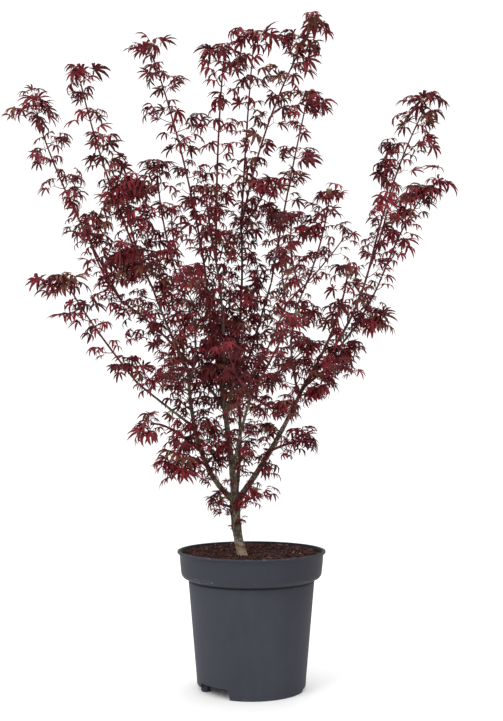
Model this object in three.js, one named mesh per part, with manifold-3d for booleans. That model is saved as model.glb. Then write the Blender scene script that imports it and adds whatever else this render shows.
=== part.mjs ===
// A young Japanese maple with finely cut purple leaves, growing in a round nursery pot.
// Millimetres, +Z up, the front faces -Y. The origin is the middle of the pot's flat underside.

import * as THREE from 'three';
import Module from 'manifold-3d';

// ---------------------------------------------------------------- driving dimensions

const CLEARANCE = 0.3;          // gap left between pieces that meet

// The pot is injection moulded: a thin tapering wall under a deep upright collar.
const POT_HEIGHT = 245;
const RIM_RADIUS = 135;         // outer edge of the rolled lip
const LIP_HEIGHT = 4;
const COLLAR_RADIUS = 131;      // collar wall under the lip
const COLLAR_FOOT_RADIUS = 128; // the same wall where it starts to turn in
const COLLAR_DEPTH = 50;        // from the rim down to the collar's underside
const COLLAR_TURN = 10;         // height over which the wall turns in there
const COLLAR_ROUND = 6;         // and how far the turn reaches in
const NECK_RADIUS = 114.5;      // body wall just under the collar
const BASE_RADIUS = 97.5;
const WALL = 2.6;
const FOOT_RING = 4;            // thickness of the wall's foot
const FLOOR_HEIGHT = 21;        // the floor stands this far above the foot ring
const PAD_RADIUS = 32;          // middle of the floor, let down to the ground
const POT_SIDES = 32;

// Seven drain notches are cut in the foot ring, and leave a wide foot at the front. Two of them
// run together on the left, where a round foot stands inside the ring. Angle 0 is the front.
const NOTCHES = [
  { angle: -43, width: 62, height: 18 },
  { angle: -80, width: 64, height: 9.5 },
  { angle: -128, width: 40, height: 14 },
  { angle: -168, width: 40, height: 14 },
  { angle: 152, width: 40, height: 14 },
  { angle: 114, width: 40, height: 14 },
  { angle: 80, width: 34, height: 5.5 },
];
const NOTCH_DEPTH = 24;         // deep enough to pass the foot ring
const INNER_FOOT = { angle: -70, reach: 86.5, radius: 8.5 };

const SOIL_TOP = 236;           // the bark mulch lies 9 mm below the rim

// Trunk: flared where it leaves the soil, leaning a little to the left. It is drawn from just
// below the soil, and cut level with it.
const TRUNK_FOOT = [-13, -12, SOIL_TOP - 8];
const FLARE = 0.3;              // extra share of radius at the foot
const FLARE_LENGTH = 0.18;      // share of the trunk over which most of the flare dies out

// Limbs. Each leaves its parent at a share of the parent's length, passes `mid` and ends at
// `tip`, tapering from the first radius to the second.
const LIMBS = [
  { name: 'trunk', foot: TRUNK_FOOT, radius: [8.9, 8.1], sides: 12,
    mid: [-26.5, -8, 283], tip: [-30, 0, 342] },
  { name: 'bough_centre', parent: 'trunk', at: 1, radius: [6.4, 3.9],
    mid: [-42, 6, 445], tip: [-56, 15, 545] },
  { name: 'bough_left', parent: 'trunk', at: 0.93, radius: [5, 3],
    mid: [-90, -15, 420], tip: [-115, -30, 570] },
  { name: 'bough_right', parent: 'trunk', at: 0.88, radius: [5.6, 3.4],
    mid: [38, 14, 430], tip: [100, 20, 550] },
  { name: 'bough_back', parent: 'trunk', at: 0.95, radius: [4.2, 2.8],
    mid: [-22, 55, 430], tip: [-25, 100, 535] },
  { name: 'bough_front', parent: 'bough_centre', at: 0.2, radius: [3.3, 2.3],
    mid: [-20, -48, 455], tip: [0, -95, 525] },
  { name: 'limb_low_left', parent: 'bough_left', at: 0.6, radius: [2.6, 1.9],
    mid: [-155, -55, 508], tip: [-200, -85, 545] },
  { name: 'limb_outer_left', parent: 'bough_left', at: 1, radius: [2.8, 2.1],
    mid: [-148, -28, 640], tip: [-180, -30, 720] },
  { name: 'limb_inner_left', parent: 'bough_left', at: 0.9, radius: [2.3, 1.8],
    mid: [-101, -50, 625], tip: [-120, -60, 700] },
  { name: 'limb_far_left', parent: 'bough_centre', at: 0.78, radius: [2.8, 2],
    mid: [-145, 35, 620], tip: [-245, 30, 705] },
  { name: 'limb_centre_left', parent: 'bough_centre', at: 1, radius: [3.2, 2.2],
    mid: [-76, 55, 655], tip: [-90, 85, 770] },
  { name: 'limb_centre', parent: 'bough_centre', at: 0.9, radius: [3, 2.2],
    mid: [-52, -18, 655], tip: [-65, -20, 770] },
  { name: 'limb_centre_right', parent: 'bough_centre', at: 0.7, radius: [3, 2.1],
    mid: [-22, 40, 670], tip: [-20, 60, 850] },
  { name: 'limb_back_right', parent: 'bough_back', at: 1, radius: [2.6, 2],
    mid: [8, 88, 645], tip: [38, 62, 745] },
  { name: 'limb_back_far', parent: 'bough_back', at: 0.93, radius: [2.3, 1.7],
    mid: [30, 158, 620], tip: [70, 195, 720] },
  { name: 'limb_back_left', parent: 'bough_back', at: 0.86, radius: [2.4, 1.8],
    mid: [-80, 155, 640], tip: [-130, 200, 740] },
  { name: 'limb_upper_right', parent: 'bough_right', at: 1, radius: [3.1, 2.2],
    mid: [175, 38, 650], tip: [225, 55, 770] },
  { name: 'limb_outer_right', parent: 'limb_upper_right', at: 0.14, radius: [2.3, 1.8],
    mid: [190, -6, 652], tip: [240, -20, 745] },
  { name: 'limb_inner_right', parent: 'bough_right', at: 0.9, radius: [2.4, 1.8],
    mid: [72, -38, 622], tip: [90, -80, 705] },
];
const LIMB_SIDES = 6;
const LIMB_STRETCH = 46;        // longest straight stretch in a limb
const STEM_SIDES = 3;
const STEM_STRETCH = 70;        // and in the stem of a mass

// Foliage masses. The stem leaves its limb like a limb does. `spread` is how far its side
// shoots carry their leaves, `leaf` the length of the middle lobe.
const MASSES = [
  // leaders that make the crown's outline, left to right
  { name: 'foliage_far_left', parent: 'limb_far_left', at: 1, spread: 30, leaf: 52,
    mid: [-360, 35, 930], tip: [-418, 45, 1090] },
  { name: 'foliage_low_left', parent: 'limb_low_left', at: 1, spread: 32, leaf: 54,
    mid: [-272, -100, 640], tip: [-328, -110, 728] },
  { name: 'foliage_outer_left', parent: 'limb_outer_left', at: 1, spread: 30, leaf: 52,
    mid: [-259, -40, 912], tip: [-319, -45, 1121] },
  { name: 'foliage_top_left', parent: 'limb_centre_left', at: 1, spread: 30, leaf: 52,
    mid: [-140, 108, 1015], tip: [-208, 120, 1238] },
  { name: 'foliage_top_centre', parent: 'limb_centre', at: 1, spread: 30, leaf: 52,
    mid: [-62, -25, 980], tip: [-50, -30, 1165] },
  { name: 'foliage_top_back', parent: 'limb_centre_right', at: 1, spread: 30, leaf: 52,
    mid: [-8, 85, 1070], tip: [6, 90, 1244] },
  { name: 'foliage_top_right', parent: 'limb_centre_right', at: 1, spread: 30, leaf: 54,
    mid: [36, 42, 1060], tip: [124, 40, 1250] },
  { name: 'foliage_middle_right', parent: 'limb_back_right', at: 1, spread: 32, leaf: 52,
    mid: [72, 42, 930], tip: [109, 20, 1104] },
  { name: 'foliage_upper_right', parent: 'limb_upper_right', at: 1, spread: 32, leaf: 54,
    mid: [284, 70, 965], tip: [352, 80, 1112] },
  { name: 'foliage_outer_right', parent: 'limb_outer_right', at: 1, spread: 32, leaf: 54,
    mid: [285, -32, 845], tip: [328, -40, 905] },
  // shorter masses that fill the crown, left to right
  { name: 'foliage_left_front', parent: 'limb_far_left', at: 1, spread: 34, leaf: 54,
    mid: [-283, -20, 772], tip: [-298, -60, 838] },
  { name: 'foliage_shoulder_left', parent: 'limb_outer_left', at: 1, spread: 38, leaf: 58,
    mid: [-206, -120, 800], tip: [-209, -195, 885] },
  { name: 'foliage_inner_left', parent: 'limb_inner_left', at: 1, spread: 34, leaf: 52,
    mid: [-155, -68, 820], tip: [-170, -70, 940] },
  { name: 'foliage_front_left', parent: 'limb_inner_left', at: 1, spread: 34, leaf: 52,
    mid: [-112, -120, 720], tip: [-100, -180, 715] },
  { name: 'foliage_low_front_left', parent: 'bough_left', at: 1, spread: 36, leaf: 54,
    mid: [-140, -95, 566], tip: [-144, -168, 536] },
  { name: 'foliage_side_left', parent: 'bough_left', at: 0.42, spread: 30, leaf: 54,
    mid: [-155, -52, 470], tip: [-188, -85, 464] },
  { name: 'foliage_foot_left', parent: 'bough_left', at: 0.3, spread: 30, leaf: 52,
    mid: [-112, -62, 415], tip: [-140, -105, 395] },
  { name: 'foliage_centre_front', parent: 'limb_centre', at: 1, spread: 34, leaf: 52,
    mid: [-75, -80, 830], tip: [-80, -140, 885] },
  { name: 'foliage_centre_right', parent: 'limb_centre_right', at: 1, spread: 34, leaf: 52,
    mid: [12, 5, 885], tip: [32, -55, 915] },
  { name: 'foliage_front_low', parent: 'bough_front', at: 1, spread: 36, leaf: 54,
    mid: [-28, -160, 562], tip: [-35, -230, 600] },
  { name: 'foliage_front_middle', parent: 'bough_front', at: 1, spread: 38, leaf: 56,
    mid: [38, -165, 592], tip: [62, -240, 640] },
  { name: 'foliage_front_right', parent: 'bough_front', at: 1, spread: 32, leaf: 52,
    mid: [38, -122, 500], tip: [72, -145, 500] },
  { name: 'foliage_right_inner', parent: 'limb_inner_right', at: 1, spread: 32, leaf: 52,
    mid: [122, -98, 795], tip: [138, -112, 885] },
  { name: 'foliage_right_front', parent: 'limb_inner_right', at: 1, spread: 34, leaf: 54,
    mid: [68, -135, 770], tip: [72, -180, 830] },
  { name: 'foliage_right_middle', parent: 'bough_right', at: 1, spread: 30, leaf: 52,
    mid: [150, -42, 652], tip: [172, -90, 756] },
  { name: 'foliage_right_low', parent: 'bough_right', at: 0.96, spread: 34, leaf: 54,
    mid: [140, -88, 572], tip: [160, -178, 562] },
  { name: 'foliage_right_upper', parent: 'limb_upper_right', at: 1, spread: 32, leaf: 52,
    mid: [238, -25, 822], tip: [240, -110, 858] },
  { name: 'foliage_right_side', parent: 'limb_outer_right', at: 0.5, spread: 30, leaf: 54,
    mid: [208, -45, 660], tip: [227, -66, 645] },
  { name: 'foliage_foot_right', parent: 'bough_right', at: 0.45, spread: 28, leaf: 52,
    mid: [75, -18, 440], tip: [110, -45, 442] },
  { name: 'foliage_trunk_left', parent: 'trunk', at: 0.8, spread: 18, leaf: 38,
    mid: [-58, -24, 330], tip: [-68, -36, 324] },
  { name: 'foliage_trunk_right', parent: 'trunk', at: 0.82, spread: 18, leaf: 38,
    mid: [-2, -28, 340], tip: [18, -40, 346] },
  // masses on the far side
  { name: 'foliage_back_left', parent: 'limb_back_left', at: 1, spread: 38, leaf: 54,
    mid: [-160, 238, 840], tip: [-172, 265, 935] },
  { name: 'foliage_back_side_left', parent: 'limb_back_left', at: 1, spread: 36, leaf: 54,
    mid: [-205, 205, 785], tip: [-262, 190, 826] },
  { name: 'foliage_back_middle', parent: 'limb_back_far', at: 1, spread: 38, leaf: 54,
    mid: [62, 255, 820], tip: [50, 285, 935] },
  { name: 'foliage_back_right', parent: 'limb_back_far', at: 1, spread: 36, leaf: 54,
    mid: [140, 222, 795], tip: [205, 235, 880] },
  { name: 'foliage_back_low', parent: 'bough_back', at: 1, spread: 38, leaf: 54,
    mid: [-40, 185, 605], tip: [-45, 260, 690] },
  { name: 'foliage_back_low_right', parent: 'bough_back', at: 0.97, spread: 36, leaf: 54,
    mid: [50, 170, 575], tip: [120, 220, 640] },
];
const NODE_PITCH = 45;          // between nodes along a stem
const LEAST_NODES = 4.5;        // a short stem has its nodes closer than that
const NODE_TURN = 94;           // degrees from one node to the next
const TURN_PLAY = 30;           // and how much that varies
const REACH_PLAY = 0.4;         // share by which a shoot's length varies
const SIZE_PLAY = 0.3;          // and a leaf's
const SIDE_STEPS = [0, 40, -40, 80, -80, 120, -120]; // turns tried where a leaf has no room
const TIP_LEAVES = 3;
const TIP_INSET = 5;            // between the leaves at the tip
const TIP_REACH = 0.55;         // their stalks, as a share of the spread
const TIP_LIFT = 50;
const SHOOT_TAPER = 0.35;       // side shoots near the tip are this much shorter
const FIRST_NODE = 30;          // bare stretch at the stem's foot
const SHOOT_LIFT = 34;          // degrees that side shoots rise from square to the stem
const LEAF_TILT = 40;           // degrees that a leaf hangs below level
const STEM_RADIUS = [2.6, 1.7];

// A leaf has five narrow pointed lobes, drooping at their tips, round the end of its stalk.
const LOBE_TURNS = [-102, -52, 0, 52, 102];
const LOBE_LENGTHS = [0.58, 0.88, 1, 0.88, 0.58];
const LOBE_NOTCH = 0.24;        // notches between lobes, as a share of the leaf's length
const HEEL_TURN = 145;          // notches beside the stalk
const HEEL_DEPTH = 0.09;
const LOBE_DROOP = 0.2;
const LEAF_THICKNESS = 1.8;
const STALK_HEIGHT = 1.4;       // height of the stalk where it is rooted in the stem

const COLOURS = {
  pot: 0x474b50,
  soil: 0x45291f,
  trunk: 0x6d6a57,
  bough: 0x5a4f47,
  limb: 0x4a3635,
  foliage: 0x5c1f2b,
};

// ---------------------------------------------------------------- solids

const wasm = await Module();
wasm.setup();

const RAD = Math.PI / 180;
const vector = (xyz) => new THREE.Vector3(...xyz);

// A closed body from its corners and its faces.
function body(corners, triangles) {
  const vertProperties = new Float32Array(corners.flatMap((corner) => corner.toArray()));
  const triVerts = new Uint32Array(triangles.flat());
  return new wasm.Manifold(new wasm.Mesh({ numProp: 3, vertProperties, triVerts }));
}

// The largest connected piece of a body, without sealed hollows or loose scraps.
function largestPiece(solid) {
  const pieces = solid.decompose();
  return pieces.reduce((best, piece) => (piece.volume() > best.volume() ? piece : best));
}

// A ring-shaped or round body turned about Z from a closed outline of [radius, height].
function turned(outline, sides) {
  const points = outline.map(([radius, height]) => new THREE.Vector2(radius, height));
  const lathe = new THREE.LatheGeometry(points, sides);
  lathe.rotateX(Math.PI / 2);
  return welded(lathe);
}

// Shares the corners of a three.js geometry and makes a body of it.
function welded(geometry) {
  const position = geometry.getAttribute('position');
  const corners = [];
  const known = new Map();
  const welds = [];
  for (let i = 0; i < position.count; i += 1) {
    const corner = new THREE.Vector3().fromBufferAttribute(position, i);
    const key = corner.toArray().map((value) => Math.round(value * 1000)).join();
    if (!known.has(key)) {
      known.set(key, corners.length);
      corners.push(corner);
    }
    welds.push(known.get(key));
  }
  const order = geometry.index ? Array.from(geometry.index.array) : welds.map((_, i) => i);
  const triangles = [];
  for (let i = 0; i < order.length; i += 3) {
    const face = [welds[order[i]], welds[order[i + 1]], welds[order[i + 2]]];
    if (new Set(face).size === 3) triangles.push(face);
  }
  return body(corners, triangles);
}

// ---------------------------------------------------------------- pot and soil

// Inner face of the pot from the floor up, `gap` inside the wall.
function innerWall(gap) {
  const inset = WALL + gap;
  return [
    [BASE_RADIUS + 1 - inset, FLOOR_HEIGHT + inset],
    [NECK_RADIUS - inset, POT_HEIGHT - COLLAR_DEPTH],
    [COLLAR_FOOT_RADIUS - inset, POT_HEIGHT - COLLAR_DEPTH + COLLAR_TURN + inset],
    [COLLAR_RADIUS - inset, POT_HEIGHT - LIP_HEIGHT],
  ];
}

function makePot() {
  const collarFoot = POT_HEIGHT - COLLAR_DEPTH;
  const outline = [
    [0, 0],
    [PAD_RADIUS, 0],
    [PAD_RADIUS + FOOT_RING, FLOOR_HEIGHT],
    [BASE_RADIUS - FOOT_RING - 1, FLOOR_HEIGHT],
    [BASE_RADIUS - FOOT_RING, 0],
    [BASE_RADIUS, 0],
    [BASE_RADIUS + 1.5, FLOOR_HEIGHT],
    [NECK_RADIUS, collarFoot - WALL],
    [COLLAR_FOOT_RADIUS - COLLAR_ROUND, collarFoot],
    [COLLAR_FOOT_RADIUS, collarFoot + COLLAR_TURN],
    [COLLAR_RADIUS, POT_HEIGHT - 1.5 * LIP_HEIGHT],
    [RIM_RADIUS, POT_HEIGHT - LIP_HEIGHT],
    [RIM_RADIUS, POT_HEIGHT - 1],
    [RIM_RADIUS - 1.5, POT_HEIGHT],
    [COLLAR_RADIUS - WALL + 1, POT_HEIGHT],
    ...innerWall(0).reverse(),
    [0, FLOOR_HEIGHT + WALL],
  ];
  const cup = turned(outline, POT_SIDES);
  const cut = NOTCHES.reduce((pot, notch) => pot.subtract(drainNotch(notch)), cup);
  return cut.add(innerFoot());
}

// Block that cuts one drain notch through the foot ring.
function drainNotch({ angle, width, height }) {
  const block = new THREE.BoxGeometry(width, NOTCH_DEPTH, 2 * height);
  block.translate(0, -BASE_RADIUS, 0);
  block.rotateZ(angle * RAD);
  return welded(block);
}

// The round foot inside the ring. It runs up into the floor.
function innerFoot() {
  const { angle, reach, radius } = INNER_FOOT;
  const foot = turned([[0, 0], [radius, 0], [radius, FLOOR_HEIGHT + 1], [0, FLOOR_HEIGHT + 1]], 12);
  return foot.translate(reach * Math.sin(angle * RAD), -reach * Math.cos(angle * RAD), 0);
}

function makeSoil() {
  const wall = innerWall(CLEARANCE);
  const [collarRadius, collarTop] = wall.pop();
  const [turnRadius, turnHeight] = wall.at(-1);
  const share = (SOIL_TOP - turnHeight) / (collarTop - turnHeight);
  const edge = THREE.MathUtils.lerp(turnRadius, collarRadius, share);
  return turned([[0, wall[0][1]], ...wall, [edge, SOIL_TOP], [0, SOIL_TOP]], POT_SIDES);
}

// ---------------------------------------------------------------- limbs

// The bend from `foot` through `mid` to `tip`.
function bend(foot, mid, tip) {
  const control = mid.clone().multiplyScalar(2).addScaledVector(foot, -0.5).addScaledVector(tip, -0.5);
  return new THREE.QuadraticBezierCurve3(foot, control, tip);
}

// A tapering limb with flat ends. `radiusAt` gives its radius at a share of its length, and
// `spare` makes it that much fatter and longer.
function taperedLimb(curve, sides, radiusAt, spare = 0) {
  const stretch = sides === STEM_SIDES ? STEM_STRETCH : LIMB_STRETCH;
  const segments = Math.max(3, Math.ceil(curve.getLength() / stretch));
  const frames = curve.computeFrenetFrames(segments, false);
  const corners = [];
  const triangles = [];
  for (let ring = 0; ring <= segments; ring += 1) {
    const share = ring / segments;
    const centre = curve.getPointAt(share);
    if (ring === segments) centre.addScaledVector(frames.tangents[ring], spare);
    const radius = radiusAt(share) + spare;
    for (let side = 0; side < sides; side += 1) {
      const angle = (2 * Math.PI * side) / sides;
      const corner = centre.clone();
      corner.addScaledVector(frames.normals[ring], radius * Math.cos(angle));
      corner.addScaledVector(frames.binormals[ring], radius * Math.sin(angle));
      corners.push(corner);
      const next = (side + 1) % sides;
      const low = ring * sides;
      if (ring < segments) {
        triangles.push([low + side, low + next, low + sides + next]);
        triangles.push([low + side, low + sides + next, low + sides + side]);
      }
    }
  }
  const last = segments * sides;
  for (let side = 1; side < sides - 1; side += 1) {
    triangles.push([0, side + 1, side]);
    triangles.push([last, last + side, last + side + 1]);
  }
  return body(corners, triangles);
}

const grown = new Map();        // every limb and stem: its curve and its solid with clearance
const taken = [];               // what leaves must keep clear of

function remember(owner, solid) {
  taken.push({ owner, solid, box: solid.boundingBox() });
}

// True where two boxes meet.
function boxesMeet(a, b) {
  return [0, 1, 2].every((axis) => a.min[axis] <= b.max[axis] && b.min[axis] <= a.max[axis]);
}

// Everything already there that belongs to another piece and meets the solid's box.
function neighbours(owner, solid) {
  const box = solid.boundingBox();
  return taken.filter((other) => other.owner !== owner && boxesMeet(box, other.box));
}

// Grows a limb or a stem from its parent and cuts it clear of all that is there before it.
function growLimb(row, sides) {
  const foot = row.foot ? vector(row.foot) : grown.get(row.parent).getPointAt(row.at);
  const curve = bend(foot, vector(row.mid), vector(row.tip));
  const [footRadius, tipRadius] = row.radius;
  const radiusAt = (share) => {
    const flare = row.foot ? FLARE * Math.exp(-share / (FLARE_LENGTH / 2)) : 0;
    return THREE.MathUtils.lerp(footRadius, tipRadius, share) * (1 + flare);
  };
  let solid = taperedLimb(curve, sides, radiusAt);
  for (const other of neighbours(row.name, solid)) {
    solid = solid.subtract(other.solid);
  }
  grown.set(row.name, curve);
  remember(row.name, taperedLimb(curve, sides, radiusAt, CLEARANCE));
  return largestPiece(solid);
}

// The trunk's foot is cut level with the soil.
function levelFoot(solid) {
  const size = RIM_RADIUS / 2;
  const cut = new THREE.BoxGeometry(size, size, size);
  cut.translate(TRUNK_FOOT[0], TRUNK_FOOT[1], SOIL_TOP + CLEARANCE - size / 2);
  return solid.subtract(welded(cut));
}

// ---------------------------------------------------------------- leaves

// One leaf on its stalk. `root` lies in the stem, `centre` is where the lobes meet, `ahead`
// points along the middle lobe and `up` out of the leaf's upper face.
function leafSolid(root, centre, ahead, up, length, spare = 0) {
  const across = new THREE.Vector3().crossVectors(up, ahead).normalize();
  const place = (turn, reach, drop) => centre.clone()
    .addScaledVector(ahead, reach * Math.cos(turn * RAD))
    .addScaledVector(across, reach * Math.sin(turn * RAD))
    .addScaledVector(up, -drop);
  const corners = [
    place(0, 0, -(LEAF_THICKNESS / 2 + spare)),
    place(0, 0, LEAF_THICKNESS / 2 + spare),
  ];
  corners.push(place(-HEEL_TURN, HEEL_DEPTH * length + spare, 0));
  LOBE_TURNS.forEach((turn, lobe) => {
    if (lobe > 0) {
      const between = (turn + LOBE_TURNS[lobe - 1]) / 2;
      corners.push(place(between, LOBE_NOTCH * length + spare, 0));
    }
    const reach = LOBE_LENGTHS[lobe] * length + spare;
    corners.push(place(turn, reach, LOBE_DROOP * reach));
  });
  corners.push(place(HEEL_TURN, HEEL_DEPTH * length + spare, 0));
  const stalk = new THREE.Vector3().subVectors(centre, root).normalize();
  const ridge = new THREE.Vector3().crossVectors(stalk, across).normalize();
  const rootHalf = STALK_HEIGHT / 2 + spare;
  const top = corners.push(root.clone().addScaledVector(ridge, rootHalf)) - 1;
  const bottom = corners.push(root.clone().addScaledVector(ridge, -rootHalf)) - 1;
  const rim = [...Array(top - 2).keys()].map((i) => i + 2);
  const upper = [...rim, top];
  const lower = [...rim, bottom];
  const triangles = [[top, rim.at(-1), bottom], [rim[0], top, bottom]];
  upper.forEach((corner, i) => triangles.push([0, corner, upper[(i + 1) % upper.length]]));
  lower.forEach((corner, i) => triangles.push([1, lower[(i + 1) % lower.length], corner]));
  return body(corners, triangles);
}

// Seeded draws, so that every build grows the same plant.
function seededDraws(seed) {
  let state = seed;
  return () => {
    state = (Math.imul(state, 1664525) + 1013904223) >>> 0;
    return state / 2 ** 32;
  };
}

// Where the leaves of a mass stand: one at each node, a quarter turn or so from the last, and a
// few more round the stem's tip. Each stands for the spray of leaves at its node.
function leafPlaces(row, curve, draw) {
  const length = curve.getLength();
  const pitch = Math.min(NODE_PITCH, length / LEAST_NODES);
  const vary = (play) => 1 + play * (draw() - 0.5);
  const places = [];
  let turn = 360 * draw();
  for (let along = FIRST_NODE; along < length - pitch / 2; along += pitch) {
    turn += NODE_TURN + TURN_PLAY * (draw() - 0.5);
    const reach = row.spread * (1 - SHOOT_TAPER * (along / length)) * vary(REACH_PLAY);
    places.push({ along, turn, reach, lift: SHOOT_LIFT, size: vary(SIZE_PLAY) });
  }
  for (let leaf = 0; leaf < TIP_LEAVES; leaf += 1) {
    turn += 360 / TIP_LEAVES;
    const reach = row.spread * TIP_REACH * vary(REACH_PLAY);
    const along = length - TIP_INSET * leaf;
    places.push({ along, turn, reach, lift: TIP_LIFT, size: vary(SIZE_PLAY) });
  }
  return places;
}

// The frame of a stem at a distance along it: its point, its run and two directions across it.
function stemFrame(curve, along) {
  const share = along / curve.getLength();
  const run = curve.getTangentAt(share);
  const side = new THREE.Vector3(0, 0, 1).cross(run);
  if (side.length() < 0.05) side.set(1, 0, 0);
  side.normalize();
  const front = new THREE.Vector3().crossVectors(run, side);
  return { point: curve.getPointAt(share), run, side, front };
}

// The leaf of a mass at one of its places, made `spare` larger all round.
function leafAt(row, curve, place, spare) {
  const { point, run, side, front } = stemFrame(curve, place.along);
  const outward = side.clone().multiplyScalar(Math.cos(place.turn * RAD));
  outward.addScaledVector(front, Math.sin(place.turn * RAD));
  const shoot = outward.clone().multiplyScalar(Math.cos(place.lift * RAD));
  shoot.addScaledVector(run, Math.sin(place.lift * RAD));
  const level = new THREE.Vector3(shoot.x, shoot.y, 0);
  if (level.length() < 0.2) level.addScaledVector(outward.setZ(0), 1);
  level.normalize();
  const ahead = level.clone().multiplyScalar(Math.cos(LEAF_TILT * RAD));
  ahead.z = -Math.sin(LEAF_TILT * RAD);
  const up = level.clone().multiplyScalar(Math.sin(LEAF_TILT * RAD));
  up.z = Math.cos(LEAF_TILT * RAD);
  const centre = point.clone().addScaledVector(shoot, place.reach);
  return leafSolid(point, centre, ahead, up, row.leaf * place.size, spare);
}

// One foliage mass: its stem with the leaves that find room. A leaf that would touch another
// piece or a leaf of its own mass is turned round the stem, and skipped if that doesn't help.
function growMass(row, stem, seed) {
  const curve = grown.get(row.name);
  const leaves = [];
  for (const place of leafPlaces(row, curve, seededDraws(seed))) {
    const turns = SIDE_STEPS.map((step) => place.turn + step);
    const turn = turns.find((trial) => {
      const wide = leafAt(row, curve, { ...place, turn: trial }, 2 * CLEARANCE);
      const near = [...neighbours(row.name, wide).map((other) => other.solid), ...leaves];
      return near.every((solid) => solid.intersect(wide).isEmpty());
    });
    if (turn !== undefined) {
      leaves.push(leafAt(row, curve, { ...place, turn }, 0));
    }
  }
  leaves.forEach((leaf) => remember(row.name, leaf));
  return largestPiece(wasm.Manifold.union([stem, ...leaves]));
}

// ---------------------------------------------------------------- assembly

const plant = new THREE.Group();

function addPiece(name, solid, colour, roughness) {
  const mesh = solid.getMesh();
  const geometry = new THREE.BufferGeometry();
  const position = new THREE.BufferAttribute(new Float32Array(mesh.vertProperties), 3);
  geometry.setAttribute('position', position);
  geometry.setIndex(new THREE.BufferAttribute(new Uint32Array(mesh.triVerts), 1));
  const material = new THREE.MeshStandardMaterial({ color: colour, roughness, metalness: 0 });
  const piece = new THREE.Mesh(geometry, material);
  piece.name = name;
  plant.add(piece);
}

addPiece('pot', makePot(), COLOURS.pot, 0.55);
addPiece('soil', makeSoil(), COLOURS.soil, 0.95);

for (const row of LIMBS) {
  const limb = growLimb(row, row.sides ?? LIMB_SIDES);
  const colour = COLOURS[row.name.split('_')[0]];
  addPiece(row.name, row.name === 'trunk' ? levelFoot(limb) : limb, colour, 0.85);
}

// All stems come first, so that leaves can keep clear of every one of them.
const stems = MASSES.map((row) => {
  return growLimb({ ...row, radius: STEM_RADIUS }, STEM_SIDES);
});
MASSES.forEach((row, i) => {
  addPiece(row.name, growMass(row, stems[i], 101 + 17 * i), COLOURS.foliage, 0.6);
});

export default plant;
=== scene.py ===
"""A young Japanese maple with finely cut wine red leaves, in its nursery pot: how it looks.

Metres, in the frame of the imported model: +Z up, the front faces -Y, and the middle of the
pot's flat underside is the origin. The tables of limbs and masses are in millimetres.
"""

import functools
import math
import random

import bmesh
import bpy
import numpy as np
from mathutils import Matrix, Vector, kdtree, noise


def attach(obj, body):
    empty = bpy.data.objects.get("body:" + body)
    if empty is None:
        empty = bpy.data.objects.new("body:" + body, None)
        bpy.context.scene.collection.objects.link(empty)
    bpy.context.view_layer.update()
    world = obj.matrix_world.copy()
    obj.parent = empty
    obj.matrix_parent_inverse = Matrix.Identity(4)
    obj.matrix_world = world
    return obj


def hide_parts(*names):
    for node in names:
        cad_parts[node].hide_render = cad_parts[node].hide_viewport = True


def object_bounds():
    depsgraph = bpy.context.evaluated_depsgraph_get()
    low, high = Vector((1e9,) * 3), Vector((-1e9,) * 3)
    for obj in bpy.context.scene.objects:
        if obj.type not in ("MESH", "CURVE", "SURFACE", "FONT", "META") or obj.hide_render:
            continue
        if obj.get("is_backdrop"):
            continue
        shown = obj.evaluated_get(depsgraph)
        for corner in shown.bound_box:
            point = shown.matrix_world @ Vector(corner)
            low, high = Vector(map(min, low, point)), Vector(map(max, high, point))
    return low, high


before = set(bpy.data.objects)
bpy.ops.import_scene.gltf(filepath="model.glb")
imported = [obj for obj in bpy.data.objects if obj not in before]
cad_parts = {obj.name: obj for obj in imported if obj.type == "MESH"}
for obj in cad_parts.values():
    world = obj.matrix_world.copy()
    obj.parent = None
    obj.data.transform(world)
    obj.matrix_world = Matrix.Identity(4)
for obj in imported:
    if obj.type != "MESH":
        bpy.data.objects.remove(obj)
cad_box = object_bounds()
MM = 0.001

# ---------------------------------------------------------------- camera
# A moderately long lens at about the height of the crown's lower edge, 1.8 m in front of the
# pot and tipped up by almost four degrees, so that the near rim of the pot shows its inside.

PICTURE_HIGH = 721
FOCUS = 976.6                   # picture points
SENSOR = 36                     # the lens is worked out for this sensor, in millimetres
CAMERA_AWAY = 1.8
CAMERA_HIGH = 0.4723
CAMERA_TIPPED = 0.0658          # radians, upwards

camera_data = bpy.data.cameras.new("camera")
camera_data.sensor_fit = "VERTICAL"
camera_data.sensor_height = SENSOR
camera_data.lens = FOCUS * SENSOR / PICTURE_HIGH
camera = bpy.data.objects.new("camera", camera_data)
camera.location = (0, -CAMERA_AWAY, CAMERA_HIGH)
camera.rotation_euler = (math.pi / 2 + CAMERA_TIPPED, 0, 0)
bpy.context.collection.objects.link(camera)
bpy.context.scene.camera = camera

# ---------------------------------------------------------------- studio
# White surroundings and a white floor. A large soft light stands high on the left in front,
# a weaker one on the right, and one above and behind lights the top of the crown.

SURROUNDINGS = 1.12             # brightness
FLOOR_HALF = 8


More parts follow.
